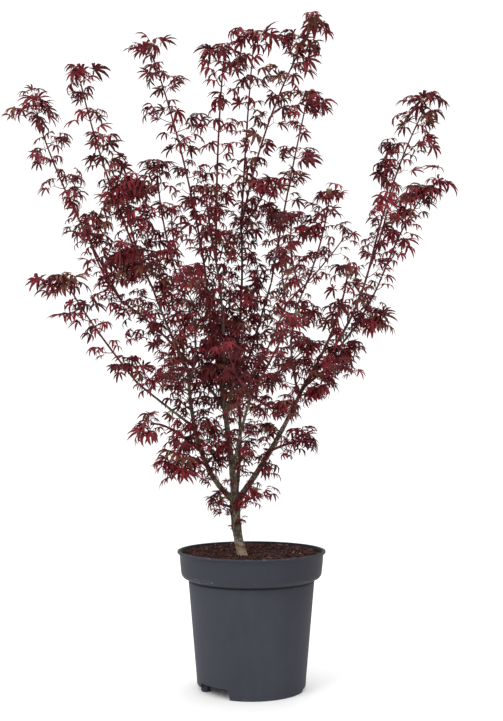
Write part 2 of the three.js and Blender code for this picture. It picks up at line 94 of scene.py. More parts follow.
class Feed:
    """A value, colour or vector on its way through the nodes of a finish."""

    def __init__(self, tree, socket=None):
        self.tree = tree
        self.socket = socket

    def node(self, kind, settings=None, sockets=None, out=0):
        made = self.tree.nodes.new(kind)
        for name, value in (settings or {}).items():
            setattr(made, name, value)
        for name, value in (sockets or {}).items():
            if isinstance(value, Feed):
                self.tree.links.new(value.socket, made.inputs[name])
            else:
                made.inputs[name].default_value = value
        return Feed(self.tree, made.outputs[out] if made.outputs else None)

    def math(self, operation, first, second):
        return self.node("ShaderNodeMath", {"operation": operation}, {0: first, 1: second})

    def __add__(self, other):
        return self.math("ADD", self, other)

    def __sub__(self, other):
        return self.math("SUBTRACT", self, other)

    def __rsub__(self, other):
        return self.math("SUBTRACT", other, self)

    def __mul__(self, other):
        return self.math("MULTIPLY", self, other)

    def __truediv__(self, other):
        return self.math("DIVIDE", self, other)

    __radd__ = __add__
    __rmul__ = __mul__

    def between(self, low, high):
        """0 at and below `low`, 1 at and above `high`, whichever way round they are."""
        share = {"From Min": low, "From Max": high}
        return self.node("ShaderNodeMapRange", {"clamp": True}, {"Value": self, **share})

    def mix(self, first, second):
        """The first colour where this is 0, the second where it is 1."""
        colours = {0: self, 6: first, 7: second}
        return self.node("ShaderNodeMix", {"data_type": "RGBA"}, colours, out=2)

    def stretched(self, scale):
        """A vector with its three parts multiplied."""
        parts = {0: self, 1: scale}
        return self.node("ShaderNodeVectorMath", {"operation": "MULTIPLY"}, parts)

    def noise(self, scale, detail=3.0, rough=0.5):
        """Cloudy noise from 0 to 1 at this place, `scale` to the metre."""
        sockets = {"Vector": self, "Scale": scale, "Detail": detail, "Roughness": rough}
        return self.node("ShaderNodeTexNoise", None, sockets)

    def part(self, axis):
        """One part of a vector."""
        return self.node("ShaderNodeSeparateXYZ", None, {0: self}, out=axis)

    def relief(self, height, strength=1.0):
        """The normal of a surface with this value as its relief, `height` metres deep."""
        sockets = {"Height": self, "Distance": height, "Strength": strength}
        return self.node("ShaderNodeBump", None, sockets)


def finish(name, recipe):
    """A material. `recipe` takes the place on the piece and gives the shader's sockets."""
    material = bpy.data.materials.new(name)
    material.use_nodes = True
    tree = material.node_tree
    tree.nodes.clear()
    place = Feed(tree).node("ShaderNodeTexCoord", out="Object")
    surface = place.node("ShaderNodeBsdfPrincipled", None, recipe(place))
    place.node("ShaderNodeOutputMaterial", None, {"Surface": surface})
    return material


def colour(red, green, blue):
    """A plain base colour, from its 0 to 255 values on screen."""
    parts = (value / 255 for value in (red, green, blue))
    return (*(v / 12.92 if v <= 0.04045 else ((v + 0.055) / 1.055) ** 2.4 for v in parts), 1)


world = bpy.data.worlds.new("white_surroundings")
world.use_nodes = True
world.node_tree.nodes["Background"].inputs["Color"].default_value = (1, 1, 1, 1)
world.node_tree.nodes["Background"].inputs["Strength"].default_value = SURROUNDINGS
bpy.context.scene.world = world
bpy.context.scene.view_settings.view_transform = "Standard"

floor_mesh = bpy.data.meshes.new("floor")
floor_ends = ((-1, -1), (1, -1), (1, 1), (-1, 1))
floor_corners = [(x * FLOOR_HALF, y * FLOOR_HALF, 0) for x, y in floor_ends]
floor_mesh.from_pydata(floor_corners, [], [(0, 1, 2, 3)])
floor = bpy.data.objects.new("floor", floor_mesh)
bpy.context.collection.objects.link(floor)
floor_mesh.materials.append(finish("white_floor", lambda place: {
    "Base Color": place.noise(1.5).mix(colour(246, 246, 246), colour(250, 250, 250)),
    "Roughness": 0.9,
    "Specular IOR Level": 0.1,
}))
floor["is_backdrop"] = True

LIGHTS_AIM = (0, 0, 0.6)
LIGHTS = {
    # where it stands, metres; width of its square face; watts
    "key_light": {"at": (-1.7, -1.9, 2.4), "wide": 1.6, "power": 40},
    "fill_light": {"at": (2.2, -2.0, 1.3), "wide": 1.8, "power": 7},
    "top_light": {"at": (0.3, 1.3, 2.8), "wide": 1.6, "power": 20},
}
for name, light in LIGHTS.items():
    lamp = bpy.data.lights.new(name, "AREA")
    lamp.energy = light["power"]
    lamp.size = light["wide"]
    stand = bpy.data.objects.new(name, lamp)
    stand.location = light["at"]
    aim = Vector(LIGHTS_AIM) - Vector(light["at"])
    stand.rotation_euler = aim.to_track_quat("-Z", "Y").to_euler()
    bpy.context.collection.objects.link(stand)

# ---------------------------------------------------------------- pot
# Injection moulded polypropylene, dull slate grey: a thin wall under a deep upright collar with
# a rolled lip, a raised floor with a pad in its middle, and seven drain notches in the foot.

POT_HIGH = 245
RIM_RADIUS = 135
COLLAR_RADIUS = 131
COLLAR_FOOT_RADIUS = 128
COLLAR_DEEP = 50
NECK_RADIUS = 114.5
BASE_RADIUS = 97.5
WALL = 2.6
FOOT_RING = 4
FLOOR_HIGH = 21
PAD_RADIUS = 32
POT_STEPS = 192                 # round the pot
NOTCH_DEEP = 24
NOTCHES = [
    # angle from the front, width, height
    (-44, 62, 18),
    (-80, 64, 9.5),
    (-128, 40, 14),
    (-168, 40, 14),
    (152, 40, 14),
    (114, 40, 14),
    (80, 34, 5.5),
]
NOTCH_ROUND = 1.6               # the notches' corners are rounded off by this much
NOTCH_FLARE = 10                # each is this much wider at the ground than at its top
INNER_FOOT = {"angle": -70, "reach": 86.5, "radius": 8.5}
SOIL_TOP = 236


class Joined:
    """Corners and triangles of many like bits, which become one piece."""

    def __init__(self):
        self.corners = []
        self.faces = []
        self.count = 0

    def add(self, corners, faces):
        self.corners.append(np.asarray(corners, float))
        self.faces.append(np.asarray(faces, int) + self.count)
        self.count += len(corners)

    def piece(self, name, material, smooth=True, crease=None):
        """The Blender object, from corners in millimetres."""
        mesh = bpy.data.meshes.new(name)
        corners = np.concatenate(self.corners) * MM
        mesh.from_pydata(corners.tolist(), [], np.concatenate(self.faces).tolist())
        mesh.polygons.foreach_set("use_smooth", [smooth] * len(mesh.polygons))
        if crease is not None:
            mesh.set_sharp_from_angle(angle=math.radians(crease))
        mesh.materials.append(material)
        made = bpy.data.objects.new(name, mesh)
        bpy.context.collection.objects.link(made)
        return made


def turned(outline, steps):
    """A body turned about Z. The outline runs from the axis out and round, back to the axis."""
    radii, heights = np.array(outline[1:-1]).T
    angles = np.linspace(0, 2 * math.pi, steps, endpoint=False)
    rings = np.empty((len(radii), steps, 3))
    rings[..., 0] = radii[:, None] * np.sin(angles)
    rings[..., 1] = -radii[:, None] * np.cos(angles)
    rings[..., 2] = heights[:, None]
    corners = [*rings.reshape(-1, 3), (0, 0, outline[0][1]), (0, 0, outline[-1][1])]
    first, last = len(corners) - 2, len(corners) - 1
    faces = []
    for step in range(steps):
        after = (step + 1) % steps
        faces.append((first, after, step))
        top = (len(radii) - 1) * steps
        faces.append((last, top + step, top + after))
        for ring in range(len(radii) - 1):
            low, high = ring * steps, (ring + 1) * steps
            faces.append((low + step, low + after, high + after))
            faces.append((low + step, high + after, high + step))
    return corners, faces


def applied(piece, cut):
    """The piece with its modifiers made real, and the cutter gone."""
    whole = piece.evaluated_get(bpy.context.evaluated_depsgraph_get())
    mesh = bpy.data.meshes.new_from_object(whole)
    piece.modifiers.clear()
    piece.data = mesh
    if cut:
        bpy.data.objects.remove(cut)
    return piece


collar_foot = POT_HIGH - COLLAR_DEEP
POT_INSIDE = [
    (COLLAR_RADIUS - WALL + 1.2, POT_HIGH - 0.5),
    (COLLAR_RADIUS - WALL, POT_HIGH - 4),
    (COLLAR_FOOT_RADIUS - WALL, collar_foot + 14),
    (COLLAR_FOOT_RADIUS - WALL - 4, collar_foot + 7),
    (NECK_RADIUS - WALL, collar_foot),
    (BASE_RADIUS + 1 - WALL, FLOOR_HIGH + WALL),
]
POT_OUTLINE = [
    (0, 0),
    (PAD_RADIUS - 1.5, 0),
    (PAD_RADIUS, 0.8),
    (PAD_RADIUS + FOOT_RING, FLOOR_HIGH),
    (BASE_RADIUS - FOOT_RING - 1, FLOOR_HIGH),
    (BASE_RADIUS - FOOT_RING, 0.8),
    (BASE_RADIUS - FOOT_RING + 0.8, 0),
    (BASE_RADIUS - 0.9, 0),
    (BASE_RADIUS, 1),
    (BASE_RADIUS + 1.5, FLOOR_HIGH),
    (BASE_RADIUS + 5.9, 0.35 * collar_foot),
    (BASE_RADIUS + 11.5, 0.67 * collar_foot),
    (NECK_RADIUS - 0.2, collar_foot - 5.5),
    (NECK_RADIUS - 0.8, collar_foot - 4.2),
    (NECK_RADIUS - 1.5, collar_foot - 2.8),
    (NECK_RADIUS - 1.3, collar_foot - 1.6),
    (NECK_RADIUS + 0.4, collar_foot - 0.9),
    (COLLAR_FOOT_RADIUS - 8.5, collar_foot + 0.9),
    (COLLAR_FOOT_RADIUS - 4.5, collar_foot + 2.8),
    (COLLAR_FOOT_RADIUS - 1.8, collar_foot + 5.8),
    (COLLAR_FOOT_RADIUS - 0.6, collar_foot + 9.4),
    (COLLAR_FOOT_RADIUS, collar_foot + 13.5),
    (COLLAR_RADIUS - 1.2, POT_HIGH - 20),
    (COLLAR_RADIUS - 0.2, POT_HIGH - 6.5),
    (COLLAR_RADIUS + 0.9, POT_HIGH - 4.8),
    (RIM_RADIUS - 0.9, POT_HIGH - 4.2),
    (RIM_RADIUS - 0.1, POT_HIGH - 3.4),
    (RIM_RADIUS, POT_HIGH - 1.3),
    (RIM_RADIUS - 0.5, POT_HIGH - 0.4),
    (RIM_RADIUS - 1.5, POT_HIGH),
    *POT_INSIDE,
    (0, FLOOR_HIGH + WALL),
]


def pot_recipe(place):
    across, depth, height = (place.part(axis) for axis in range(3))
    cloudy = place.noise(9, 4, 0.6)
    streaks = place.stretched((60, 60, 7)).noise(1, 4, 0.7)
    specks = place.noise(900, 2, 0.6)
    tone = (cloudy * 0.6 + streaks * 0.4).between(0.3, 0.7)
    grey = tone.mix(colour(51, 52, 60), colour(60, 62, 70))
    # The collar's steeper face has a duller surface than the wall.
    grey = (height.between(0.195, 0.199) * 0.5).mix(grey, colour(44, 45, 53))
    # The right side is painted darker than the rest: painted shade on the side away from the key light.
    grey = (across.between(0.035, 0.11) * 0.5).mix(grey, colour(38, 36, 40))
    # Pale rubbed marks on the lip and the foot, and along the collar's lower edge, mostly on the left
    # and at the front middle; along the collar's edge they are partly real scuffs and partly a painted
    # highlight where the edge catches the light.
    rubbed = place.stretched((1, 1, 2.2)).noise(130, 5, 0.8).between(0.55, 0.66)
    on_left = across.between(-0.058, -0.078) * 1.6
    on_left = on_left + across.between(-0.012, 0.002) * across.between(0.016, 0.008) * 0.6
    on_collar = height.between(0.1965, 0.1985) * height.between(0.2065, 0.2015)
    # A faint even band round the collar's lower turn is a painted highlight, where the rounded edge
    # catches the light.
    turn_highlight = height.between(0.1935, 0.1955) * height.between(0.203, 0.198)
    on_lip = height.between(0.2425, 0.2445)
    on_foot = height.between(0.006, 0.001)
    wear_and_highlight = rubbed * (on_collar * on_left + on_lip * 0.6 + on_foot * 0.6)
    dust = place.stretched((1, 1, 1.6)).noise(38, 6, 0.8).between(0.66, 0.8) * 0.25
    marks_and_highlight = (wear_and_highlight + dust + turn_highlight * 0.04).between(0, 1)
    # A painted shadow in the groove under the collar's edge, where the collar meets the wall.
    groove_shadow = height.between(0.1895, 0.1918) * height.between(0.1948, 0.194)
    # The inside of the wall above the mulch and the inner part of the lip's top are painted dark:
    # painted shade inside the pot.
    reach = across * across + depth * depth
    inside = reach.between(0.01705, 0.0169) * height.between(0.2335, 0.2345)
    lip_top_shade = reach.between(0.0180, 0.01775) * height.between(0.2412, 0.2418)
    # All three are painted shade: the groove's shadow, the inner wall and the lip's top.
    painted_shade = (groove_shadow + inside + lip_top_shade).between(0, 1) * 0.8
    rubbed_and_lit_grey = marks_and_highlight.mix(grey, colour(140, 139, 145))
    return {
        "Base Color": painted_shade.mix(rubbed_and_lit_grey, colour(22, 21, 25)),
        "Roughness": tone * 0.1 + specks * 0.08 + 0.5 + marks_and_highlight * 0.2,
        "Specular IOR Level": 0.12,
        "Normal": (specks * 0.25 + streaks * 0.75).relief(0.0005, 0.5),
    }


pot_body = Joined()
pot_body.add(*turned(POT_OUTLINE, POT_STEPS))
pot_plastic = finish("pot_plastic", pot_recipe)
pot = pot_body.piece("pot_shell", pot_plastic)
notches = bmesh.new()
for angle, wide, high in NOTCHES:
    size = Matrix.Diagonal((wide * MM, NOTCH_DEEP * MM, 2 * high * MM, 1))
    turn = Matrix.Rotation(math.radians(angle), 4, "Z")
    out = Matrix.Translation((0, -BASE_RADIUS * MM, 0))
    block = bmesh.ops.create_cube(notches, size=1, matrix=size)["verts"]
    for corner in block:
        flare = NOTCH_FLARE * (0.5 - corner.co.z / (high * MM))
        corner.co.x += math.copysign(flare / 2 * MM, corner.co.x)
    bmesh.ops.transform(notches, matrix=turn @ out, verts=block)
bmesh.ops.bevel(
    notches, geom=notches.edges[:], offset=NOTCH_ROUND * MM, segments=3, affect="EDGES",
    profile=0.5
)
notch_mesh = bpy.data.meshes.new("notches")
notches.to_mesh(notch_mesh)
notches.free()
notch_cutter = bpy.data.objects.new("notches", notch_mesh)
bpy.context.collection.objects.link(notch_cutter)
cut = pot.modifiers.new("notches", "BOOLEAN")
cut.operation = "DIFFERENCE"
cut.solver = "EXACT"
cut.use_self = True
cut.object = notch_cutter
pot = applied(pot, notch_cutter)
pot.data.polygons.foreach_set("use_smooth", [True] * len(pot.data.polygons))
pot.data.set_sharp_from_angle(angle=math.radians(32))

# The round foot that stands inside the ring, where two notches run together.
foot_turn = math.radians(INNER_FOOT["angle"])
foot_at = (math.sin(foot_turn), -math.cos(foot_turn), 0)
foot_radius = INNER_FOOT["radius"]
foot_corners, foot_faces = turned([
    (0, 0),
    (foot_radius - 3, 0),
    (foot_radius - 1, 0.9),
    (foot_radius, 3.2),
    (foot_radius, FLOOR_HIGH + 1),
    (0, FLOOR_HIGH + 1),
], 40)
inner_foot = Joined()
inner_foot.add(np.array(foot_corners) + INNER_FOOT["reach"] * np.array(foot_at), foot_faces)
stub = inner_foot.piece("inner_foot", pot_plastic, crease=40)
for piece in (pot, stub):
    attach(piece, "root")
    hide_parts("pot")

# ---------------------------------------------------------------- mulch
# The root ball fills the pot to 9 mm below the rim. On it lies bark mulch: dark red-brown
# flakes and slivers of conifer bark, with a few paler splinters of wood among them.

SOIL_GAP = 0.3
MULCH_RADIUS = 127.3
BED_RINGS = 44
BED_STEPS = 132
CHIPS = 4200
SLIVERS = 0.55                  # this share of them, and the rest are broader flakes
SLIVER_SIZES = ((8, 24), (1.4, 3))
FLAKE_SIZES = ((4, 12), (2.8, 7))
CHIP_THICK = (0.8, 1.9)
TRUNK_FOOT = (-13, -12, SOIL_TOP - 8)
CHIP_KINDS = {
    # name: share, dark colour, light colour
    "chips_dark": (0.44, colour(18, 10, 9), colour(38, 21, 17)),
    "chips_red": (0.4, colour(50, 21, 17), colour(84, 35, 28)),
    "chips_brown": (0.155, colour(62, 40, 33), colour(96, 64, 54)),
    "chips_pale": (0.018, colour(108, 74, 62), colour(150, 116, 98)),
}


def mulch_recipe(dark, light):
    def recipe(place):
        grain = place.noise(700, 4, 0.65)
        return {
            "Base Color": place.noise(160, 3, 0.6).between(0.35, 0.65).mix(dark, light),
            "Roughness": grain * 0.2 + 0.72,
            "Specular IOR Level": 0.25,
            "Normal": grain.relief(0.0008, 0.7),
        }
    return recipe


def bed_height(x, y):
    """Height of the mulch bed, a little uneven."""
    rise = noise.noise(Vector((x, y, 0)) / 26) * 1.5 + 1.4 + 4.4 * max(0, y) / MULCH_RADIUS
    dip = 2.2 * math.exp(-((x - TRUNK_FOOT[0]) ** 2 + (y - TRUNK_FOOT[1]) ** 2) / 500)
    return SOIL_TOP - 1.6 + rise - dip + noise.noise(Vector((x, y, 9)) / 6) * 0.9


def make_bed():
    """The root ball, with a fine uneven top."""
    inside = POT_INSIDE[::-1]
    outline = [(0, inside[0][1] + SOIL_GAP)]
    outline += [(radius - SOIL_GAP, height + SOIL_GAP) for radius, height in inside[:-2]]
    shares = np.linspace(1, 0, BED_RINGS)[:-1]
    outline += [(MULCH_RADIUS * share, SOIL_TOP) for share in shares]
    outline.append((0, SOIL_TOP))
    corners, faces = turned(outline, BED_STEPS)
    corners = np.array(corners)
    for corner in corners:
        if corner[2] == SOIL_TOP:
            corner[2] = bed_height(corner[0], corner[1])
    return corners, faces


def make_chip(rng, long, wide, thick):
    """A flake or sliver of bark: an uneven six-sided slab with broken edges."""
    turns = [math.radians(60 * k + rng.uniform(-16, 16)) for k in range(6)]
    rim = [(math.cos(turn) * rng.uniform(0.75, 1.1), math.sin(turn) * rng.uniform(0.7, 1.1))
           for turn in turns]
    low = [(x * long / 2, y * wide / 2, -thick * rng.uniform(0.3, 0.6)) for x, y in rim]
    high = [(x * long * rng.uniform(0.36, 0.48), y * wide * rng.uniform(0.34, 0.48),
             thick * rng.uniform(0.3, 0.7)) for x, y in rim]
    faces = []
    for k in range(6):
        after = (k + 1) % 6
        faces += [(k, after, 6 + after), (k, 6 + after, 6 + k)]
    faces += [(0, k + 1, k) for k in range(1, 5)]
    faces += [(6, 6 + k, 7 + k) for k in range(1, 5)]
    return np.array(low + high), faces


mulch_bed = Joined()
mulch_bed.add(*make_bed())
mulch = finish("mulch_bed", mulch_recipe(colour(26, 16, 13), colour(46, 27, 21)))
bed = mulch_bed.piece("mulch_bed", mulch)
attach(bed, "root")
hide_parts("soil")

chip_draws = random.Random(41)
chips = {kind: Joined() for kind in CHIP_KINDS}
for _ in range(CHIPS):
    kind = chip_draws.choices(list(CHIP_KINDS), [row[0] for row in CHIP_KINDS.values()])[0]
    sizes = SLIVER_SIZES if chip_draws.random() < SLIVERS else FLAKE_SIZES
    long, wide = (chip_draws.uniform(*size) for size in sizes)
    thick = chip_draws.uniform(*CHIP_THICK)
    way = chip_draws.uniform(0, 2 * math.pi)
    reach = (MULCH_RADIUS - long / 2 - 0.4) * math.sqrt(chip_draws.random())
    x, y = reach * math.cos(way), reach * math.sin(way)
    tilt = chip_draws.gauss(0, 0.28)
    if math.hypot(x - TRUNK_FOOT[0], y - TRUNK_FOOT[1]) < 10 + long / 2:
        continue
    shape, faces = make_chip(chip_draws, long, wide, thick)
    spin = Matrix.Rotation(chip_draws.uniform(0, 2 * math.pi), 3, "Z")
    pose = spin @ Matrix.Rotation(tilt, 3, "Y") @ Matrix.Rotation(chip_draws.gauss(0, 0.4), 3, "X")
    lift = bed_height(x, y) + chip_draws.uniform(-0.4, 2.8)
    chips[kind].add(shape @ np.array(pose).T + (x, y, lift), faces)
for kind, (share, dark, light) in CHIP_KINDS.items():
    layer = chips[kind].piece(kind, finish(kind, mulch_recipe(dark, light)), smooth=False)
    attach(layer, "root")
    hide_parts("soil")

# ---------------------------------------------------------------- trunk, boughs and limbs
# One piece of wood: a young trunk, forking a hand above the soil into boughs, which carry the
# limbs. Each leaves its parent in a collar. The bark is smooth, grey-green low down with dark
# fissures, a pale foot below the graft, and purple-brown and darker higher up.

FORK_SWELL = 2.3                # the trunk widens by this much up to its fork,
FORK_FROM = 0.62                # from this share of its length
TRUNK_FLARE = 1.5               # and by this much at the soil
COLLAR_SWELL = 0.45             # a limb's foot is thicker by this share
COLLAR_LONG = 14
LIMB_JOINT_SWELL = 0.12         # and its joints by this share
LIMB_JOINT_PITCH = 41
WOOD_VOXEL = 0.00115            # metres: the mesh that fuses the limbs is this fine
STUMP_DEEP = 30
STUMP_RADII = (9.5, 9.8)
LIMBS = {
    # name: parent, share of its length, radii at foot and tip, middle, tip
    "trunk": (None, 0, (8.3, 8.3), (-26.5, -8, 283), (-30, 0, 342)),
    "bough_centre": ("trunk", 1, (6.4, 3.9), (-42, 6, 445), (-56, 15, 545)),
    "bough_left": ("trunk", 0.93, (5, 3), (-90, -15, 420), (-115, -30, 570)),
    "bough_right": ("trunk", 0.88, (5.6, 3.4), (38, 14, 430), (100, 20, 550)),
    "bough_back": ("trunk", 0.95, (4.2, 2.8), (-22, 55, 430), (-25, 100, 535)),
    "bough_front": ("bough_centre", 0.2, (3.3, 2.3), (-20, -48, 455), (0, -95, 525)),
    "limb_low_left": ("bough_left", 0.6, (2.6, 1.9), (-155, -55, 508), (-200, -85, 545)),
    "limb_outer_left": ("bough_left", 1, (2.8, 2.1), (-148, -28, 640), (-180, -30, 720)),
    "limb_inner_left": ("bough_left", 0.9, (2.3, 1.8), (-101, -50, 625), (-120, -60, 700)),
    "limb_far_left": ("bough_centre", 0.78, (2.8, 2), (-145, 35, 620), (-245, 30, 705)),
    "limb_centre_left": ("bough_centre", 1, (3.2, 2.2), (-76, 55, 655), (-90, 85, 770)),
    "limb_centre": ("bough_centre", 0.9, (3, 2.2), (-52, -18, 655), (-65, -20, 770)),
    "limb_centre_right": ("bough_centre", 0.7, (3, 2.1), (-22, 40, 670), (-20, 60, 850)),
    "limb_back_right": ("bough_back", 1, (2.6, 2), (8, 88, 645), (38, 62, 745)),
    "limb_back_far": ("bough_back", 0.93, (2.3, 1.7), (30, 158, 620), (70, 195, 720)),
    "limb_back_left": ("bough_back", 0.86, (2.4, 1.8), (-80, 155, 640), (-130, 200, 740)),
    "limb_upper_right": ("bough_right", 1, (3.1, 2.2), (175, 38, 650), (225, 55, 770)),
    "limb_outer_right": ("limb_upper_right", 0.14, (2.3, 1.8), (190, -6, 652), (240, -20, 745)),
    "limb_inner_right": ("bough_right", 0.9, (2.4, 1.8), (72, -38, 622), (90, -80, 705)),
}


class Bend:
    """A run of wood from its foot through `mid` to its tip, walked by share of its length."""

    def __init__(self, foot, mid, tip):
        foot, mid, tip = (np.array(point, float) for point in (foot, mid, tip))
        pull = 2 * mid - (foot + tip) / 2
        share = np.linspace(0, 1, 301)[:, None]
        self.fine = (1 - share) ** 2 * foot + 2 * share * (1 - share) * pull + share**2 * tip
        steps = np.linalg.norm(np.diff(self.fine, axis=0), axis=1)
        self.walked = np.concatenate([[0], np.cumsum(steps)])
        self.length = self.walked[-1]

    def point(self, share):
        along = share * self.length
        return np.array([np.interp(along, self.walked, axis) for axis in self.fine.T])

    def heading(self, share):
        run = self.point(min(share + 0.01, 1)) - self.point(max(share - 0.01, 0))
        return run / np.linalg.norm(run)


@functools.lru_cache(maxsize=None)
def tube_faces(rings, sides):
    """Triangles of a tube with both ends closed."""
    faces = []
    for ring in range(rings - 1):
        low, high = ring * sides, (ring + 1) * sides
        for side in range(sides):
            after = (side + 1) % sides
            faces.append((low + side, low + after, high + after))
            faces.append((low + side, high + after, high + side))
    last = (rings - 1) * sides
    faces += [(0, side + 1, side) for side in range(1, sides - 1)]
    faces += [(last, last + side, last + side + 1) for side in range(1, sides - 1)]
    return np.array(faces)


def tube(points, radii, sides):
    """Corners and triangles of a closed tube along the points."""
    points = np.asarray(points, float)
    runs = np.gradient(points, axis=0)
    runs /= np.linalg.norm(runs, axis=1)[:, None]
    side = np.cross(runs[0], (0, 0, 1))
    if np.linalg.norm(side) < 0.05:
        side = np.array((1.0, 0, 0))
    turns = 2 * math.pi * np.arange(sides)[:, None] / sides
    rings = []
    for point, run, radius in zip(points, runs, radii):
        side = side - run * side.dot(run)
        side /= np.linalg.norm(side)
        over = np.cross(run, side)
        rings.append(point + radius * (np.cos(turns) * side + np.sin(turns) * over))
    return np.concatenate(rings), tube_faces(len(points), sides)


def limb_radius(name, share, length):
    """Radius of a limb, with its collar, its joints and the trunk's flare."""
    foot, tip = LIMBS[name][2]
    radius = foot + (tip - foot) * share
    if name == "trunk":
        flare = TRUNK_FLARE * math.exp(-share / 0.1)
        rise = max(0, (share - FORK_FROM) / (1 - FORK_FROM))
        return radius + flare + FORK_SWELL * rise**1.5
    collar = COLLAR_SWELL * radius * math.exp(-share * length / COLLAR_LONG)
    wave = math.cos(2 * math.pi * share * length / LIMB_JOINT_PITCH)
    joint = LIMB_JOINT_SWELL * radius * max(0, wave) ** 12
    return radius + collar + joint


bends = {}
wood = Joined()
axis_points = []
for name, (parent, at, radii, mid, tip) in LIMBS.items():
    foot = bends[parent].point(at) if parent else TRUNK_FOOT
    bends[name] = Bend(foot, mid, tip)
    length = bends[name].length
    shares = np.linspace(0, 1, max(8, int(length / 3)))
    points = [bends[name].point(share) for share in shares]
    sizes = [limb_radius(name, share, length) for share in shares]
    sizes[-1] *= 0.7
    wood.add(*tube(points, sizes, 20))
    kind = name.split("_")[0]
    axis_points += [(point, kind, size) for point, size in zip(points, sizes)]
# The trunk goes on down into the root ball, out of sight.
stump = [np.array(TRUNK_FOOT) - (0, 0, STUMP_DEEP), np.array(TRUNK_FOOT) + (0, 0, 2)]
wood.add(*tube(stump, STUMP_RADII, 20))


# Without this the warp of the fissures would differ from run to run.
noise.seed_set(23)


def bark_relief(point, radius):
    """How far the bark stands out here: slow lumps, and fissures that run up the wood."""
    lumps = noise.noise(point / (2.4 * radius)) * (0.13 if radius > 7.6 else 0.08) * radius
    up = Vector((point.x / 2.6, point.y / 2.6, point.z / 15))
    ridges = 1 - 2 * abs(noise.noise(up + noise.noise_vector(point / 9) * 0.5))
    rings = noise.noise(Vector((point.x / 14, point.y / 14, point.z / 1.4)))
    return lumps + ridges * 0.035 * radius + rings * 0.014 * radius


def make_wood():
    """Fuses the limbs into one skin and carves the bark. Gives corners, normals and faces."""
    rough = wood.piece("wood", None)
    fuse = rough.modifiers.new("fuse", "REMESH")
    fuse.mode = "VOXEL"
    fuse.voxel_size = WOOD_VOXEL
    settle = rough.modifiers.new("settle", "SMOOTH")
    settle.factor = 0.6
    settle.iterations = 3
    applied(rough, None)
    tree = kdtree.KDTree(len(axis_points))
    for index, (point, _, _) in enumerate(axis_points):
        tree.insert(Vector(point), index)
    tree.balance()
    mesh = rough.data
    kinds = []
    moved = []
    for vertex in mesh.vertices:
        point = vertex.co / MM
        _, index, _ = tree.find(point)
        _, kind, radius = axis_points[index]
        kinds.append(kind)
        moved.append(point + vertex.normal * bark_relief(point, radius))
    faces = [tuple(polygon.vertices) for polygon in mesh.polygons]
    for vertex, point in zip(mesh.vertices, moved):
        vertex.co = point * MM
    mesh.update()
    normals = [vertex.normal.copy() for vertex in mesh.vertices]
    bpy.data.objects.remove(rough)
    return moved, normals, faces, kinds


def bark_recipe(place):
    x, height = place.part(0), place.part(2)
    patches = place.stretched((1, 1, 0.35)).noise(120, 5, 0.7)
    fissures = place.stretched((260, 260, 42)).noise(1, 4, 0.7).between(0.5, 0.62)
    mottle = place.stretched((1, 1, 0.45)).noise(310, 4, 0.75)
    fine = place.stretched((1, 1, 0.5)).noise(900, 3, 0.6)
    # Which side of the trunk this is: 0 on the left, 1 on the right.
    side = ((x + 0.013 + (height - 0.236) * 0.165) / 0.018 + 0.5 + (patches - 0.5) * 1.6)
    shaded = side.between(0.45, 0.75) * height.between(0.4, 0.35) * x.between(0.006, -0.006)
    olive = patches.between(0.36, 0.6).mix(colour(94, 86, 68), colour(124, 122, 96))
    light = mottle.between(0.45, 0.56).mix(colour(58, 46, 40), olive)
    blotches = place.stretched((1, 1, 0.4)).noise(150, 3, 0.6).between(0.53, 0.6)
    light = (blotches * height.between(0.4, 0.34) * 0.75).mix(light, colour(66, 44, 40))
    brown = mottle.between(0.44, 0.6).mix(colour(60, 46, 42), colour(104, 88, 80))
    low_bark = shaded.mix(light, brown)
    dark_bark = patches.between(0.35, 0.65).mix(colour(56, 43, 44), colour(90, 74, 71))
    green_bark = patches.between(0.42, 0.6).mix(colour(78, 72, 54), colour(112, 108, 80))
    left_bough = x.between(-0.05, -0.075) * 0.11
    aged = (height + left_bough + (patches - 0.5) * 0.12).between(0.46, 0.64)
    young = (height + (patches - 0.5) * 0.25).between(0.56, 0.72)
    upper = young.mix(place.noise(14, 2).between(0.45, 0.6).mix(dark_bark, green_bark), dark_bark)
    bark = (fissures * 0.75).mix(aged.mix(low_bark, upper), colour(50, 38, 36))
    # Below the graft, a hand's breadth of older stock: cream and olive, with a pink seam.
    seam_height = height + (x + 0.013) * 0.5 + (patches - 0.5) * 0.008
    stock = height.between(0.2395, 0.2465).mix(colour(184, 174, 152), colour(130, 122, 90))
    stock = mottle.between(0.5, 0.6).mix(stock, colour(108, 100, 74))
    stock = (patches.between(0.5, 0.6) * 0.6).mix(stock, colour(128, 94, 84))
    pale_patch = mottle.between(0.42, 0.5) * height.between(0.253, 0.256)
    pale_patch = pale_patch * height.between(0.272, 0.264)
    bark = (pale_patch * 0.75).mix(bark, colour(142, 140, 128))
    grafted = seam_height.between(0.2498, 0.2478)
    seam = seam_height.between(0.2463, 0.2479) * seam_height.between(0.2512, 0.2497)
    bark = grafted.mix(bark, stock)
    return {
        "Base Color": (seam * 0.8).mix(bark, colour(134, 72, 62)),
        "Roughness": fine * 0.2 + 0.62,
        "Specular IOR Level": 0.25,
        "Normal": ((1 - fissures) * 0.6 + fine * 0.4).relief(0.0006, 0.8),
    }


bark = finish("maple_bark", bark_recipe)
wood_corners, wood_normals, wood_faces, wood_kinds = make_wood()
WOOD_PIECES = {
    "trunk": ("trunk_wood", "trunk_bark"),
    "bough": ("bough_wood", "bough_bark"),
    "limb": ("limb_wood", "limb_bark"),
}
for kind, (piece_name, slot) in WOOD_PIECES.items():
    chosen = [face for face in wood_faces if wood_kinds[face[0]] == kind]
    used = sorted({corner for face in chosen for corner in face})
    number = {corner: index for index, corner in enumerate(used)}
    skin = Joined()
    skin.add([wood_corners[corner] for corner in used],
             [[number[corner] for corner in face] for face in chosen])
    piece = skin.piece(piece_name, bark)
    piece.data.normals_split_custom_set_from_vertices([wood_normals[c] for c in used])
    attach(piece, "root")
    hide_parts(*(name for name in LIMBS if name.split("_")[0] == kind))
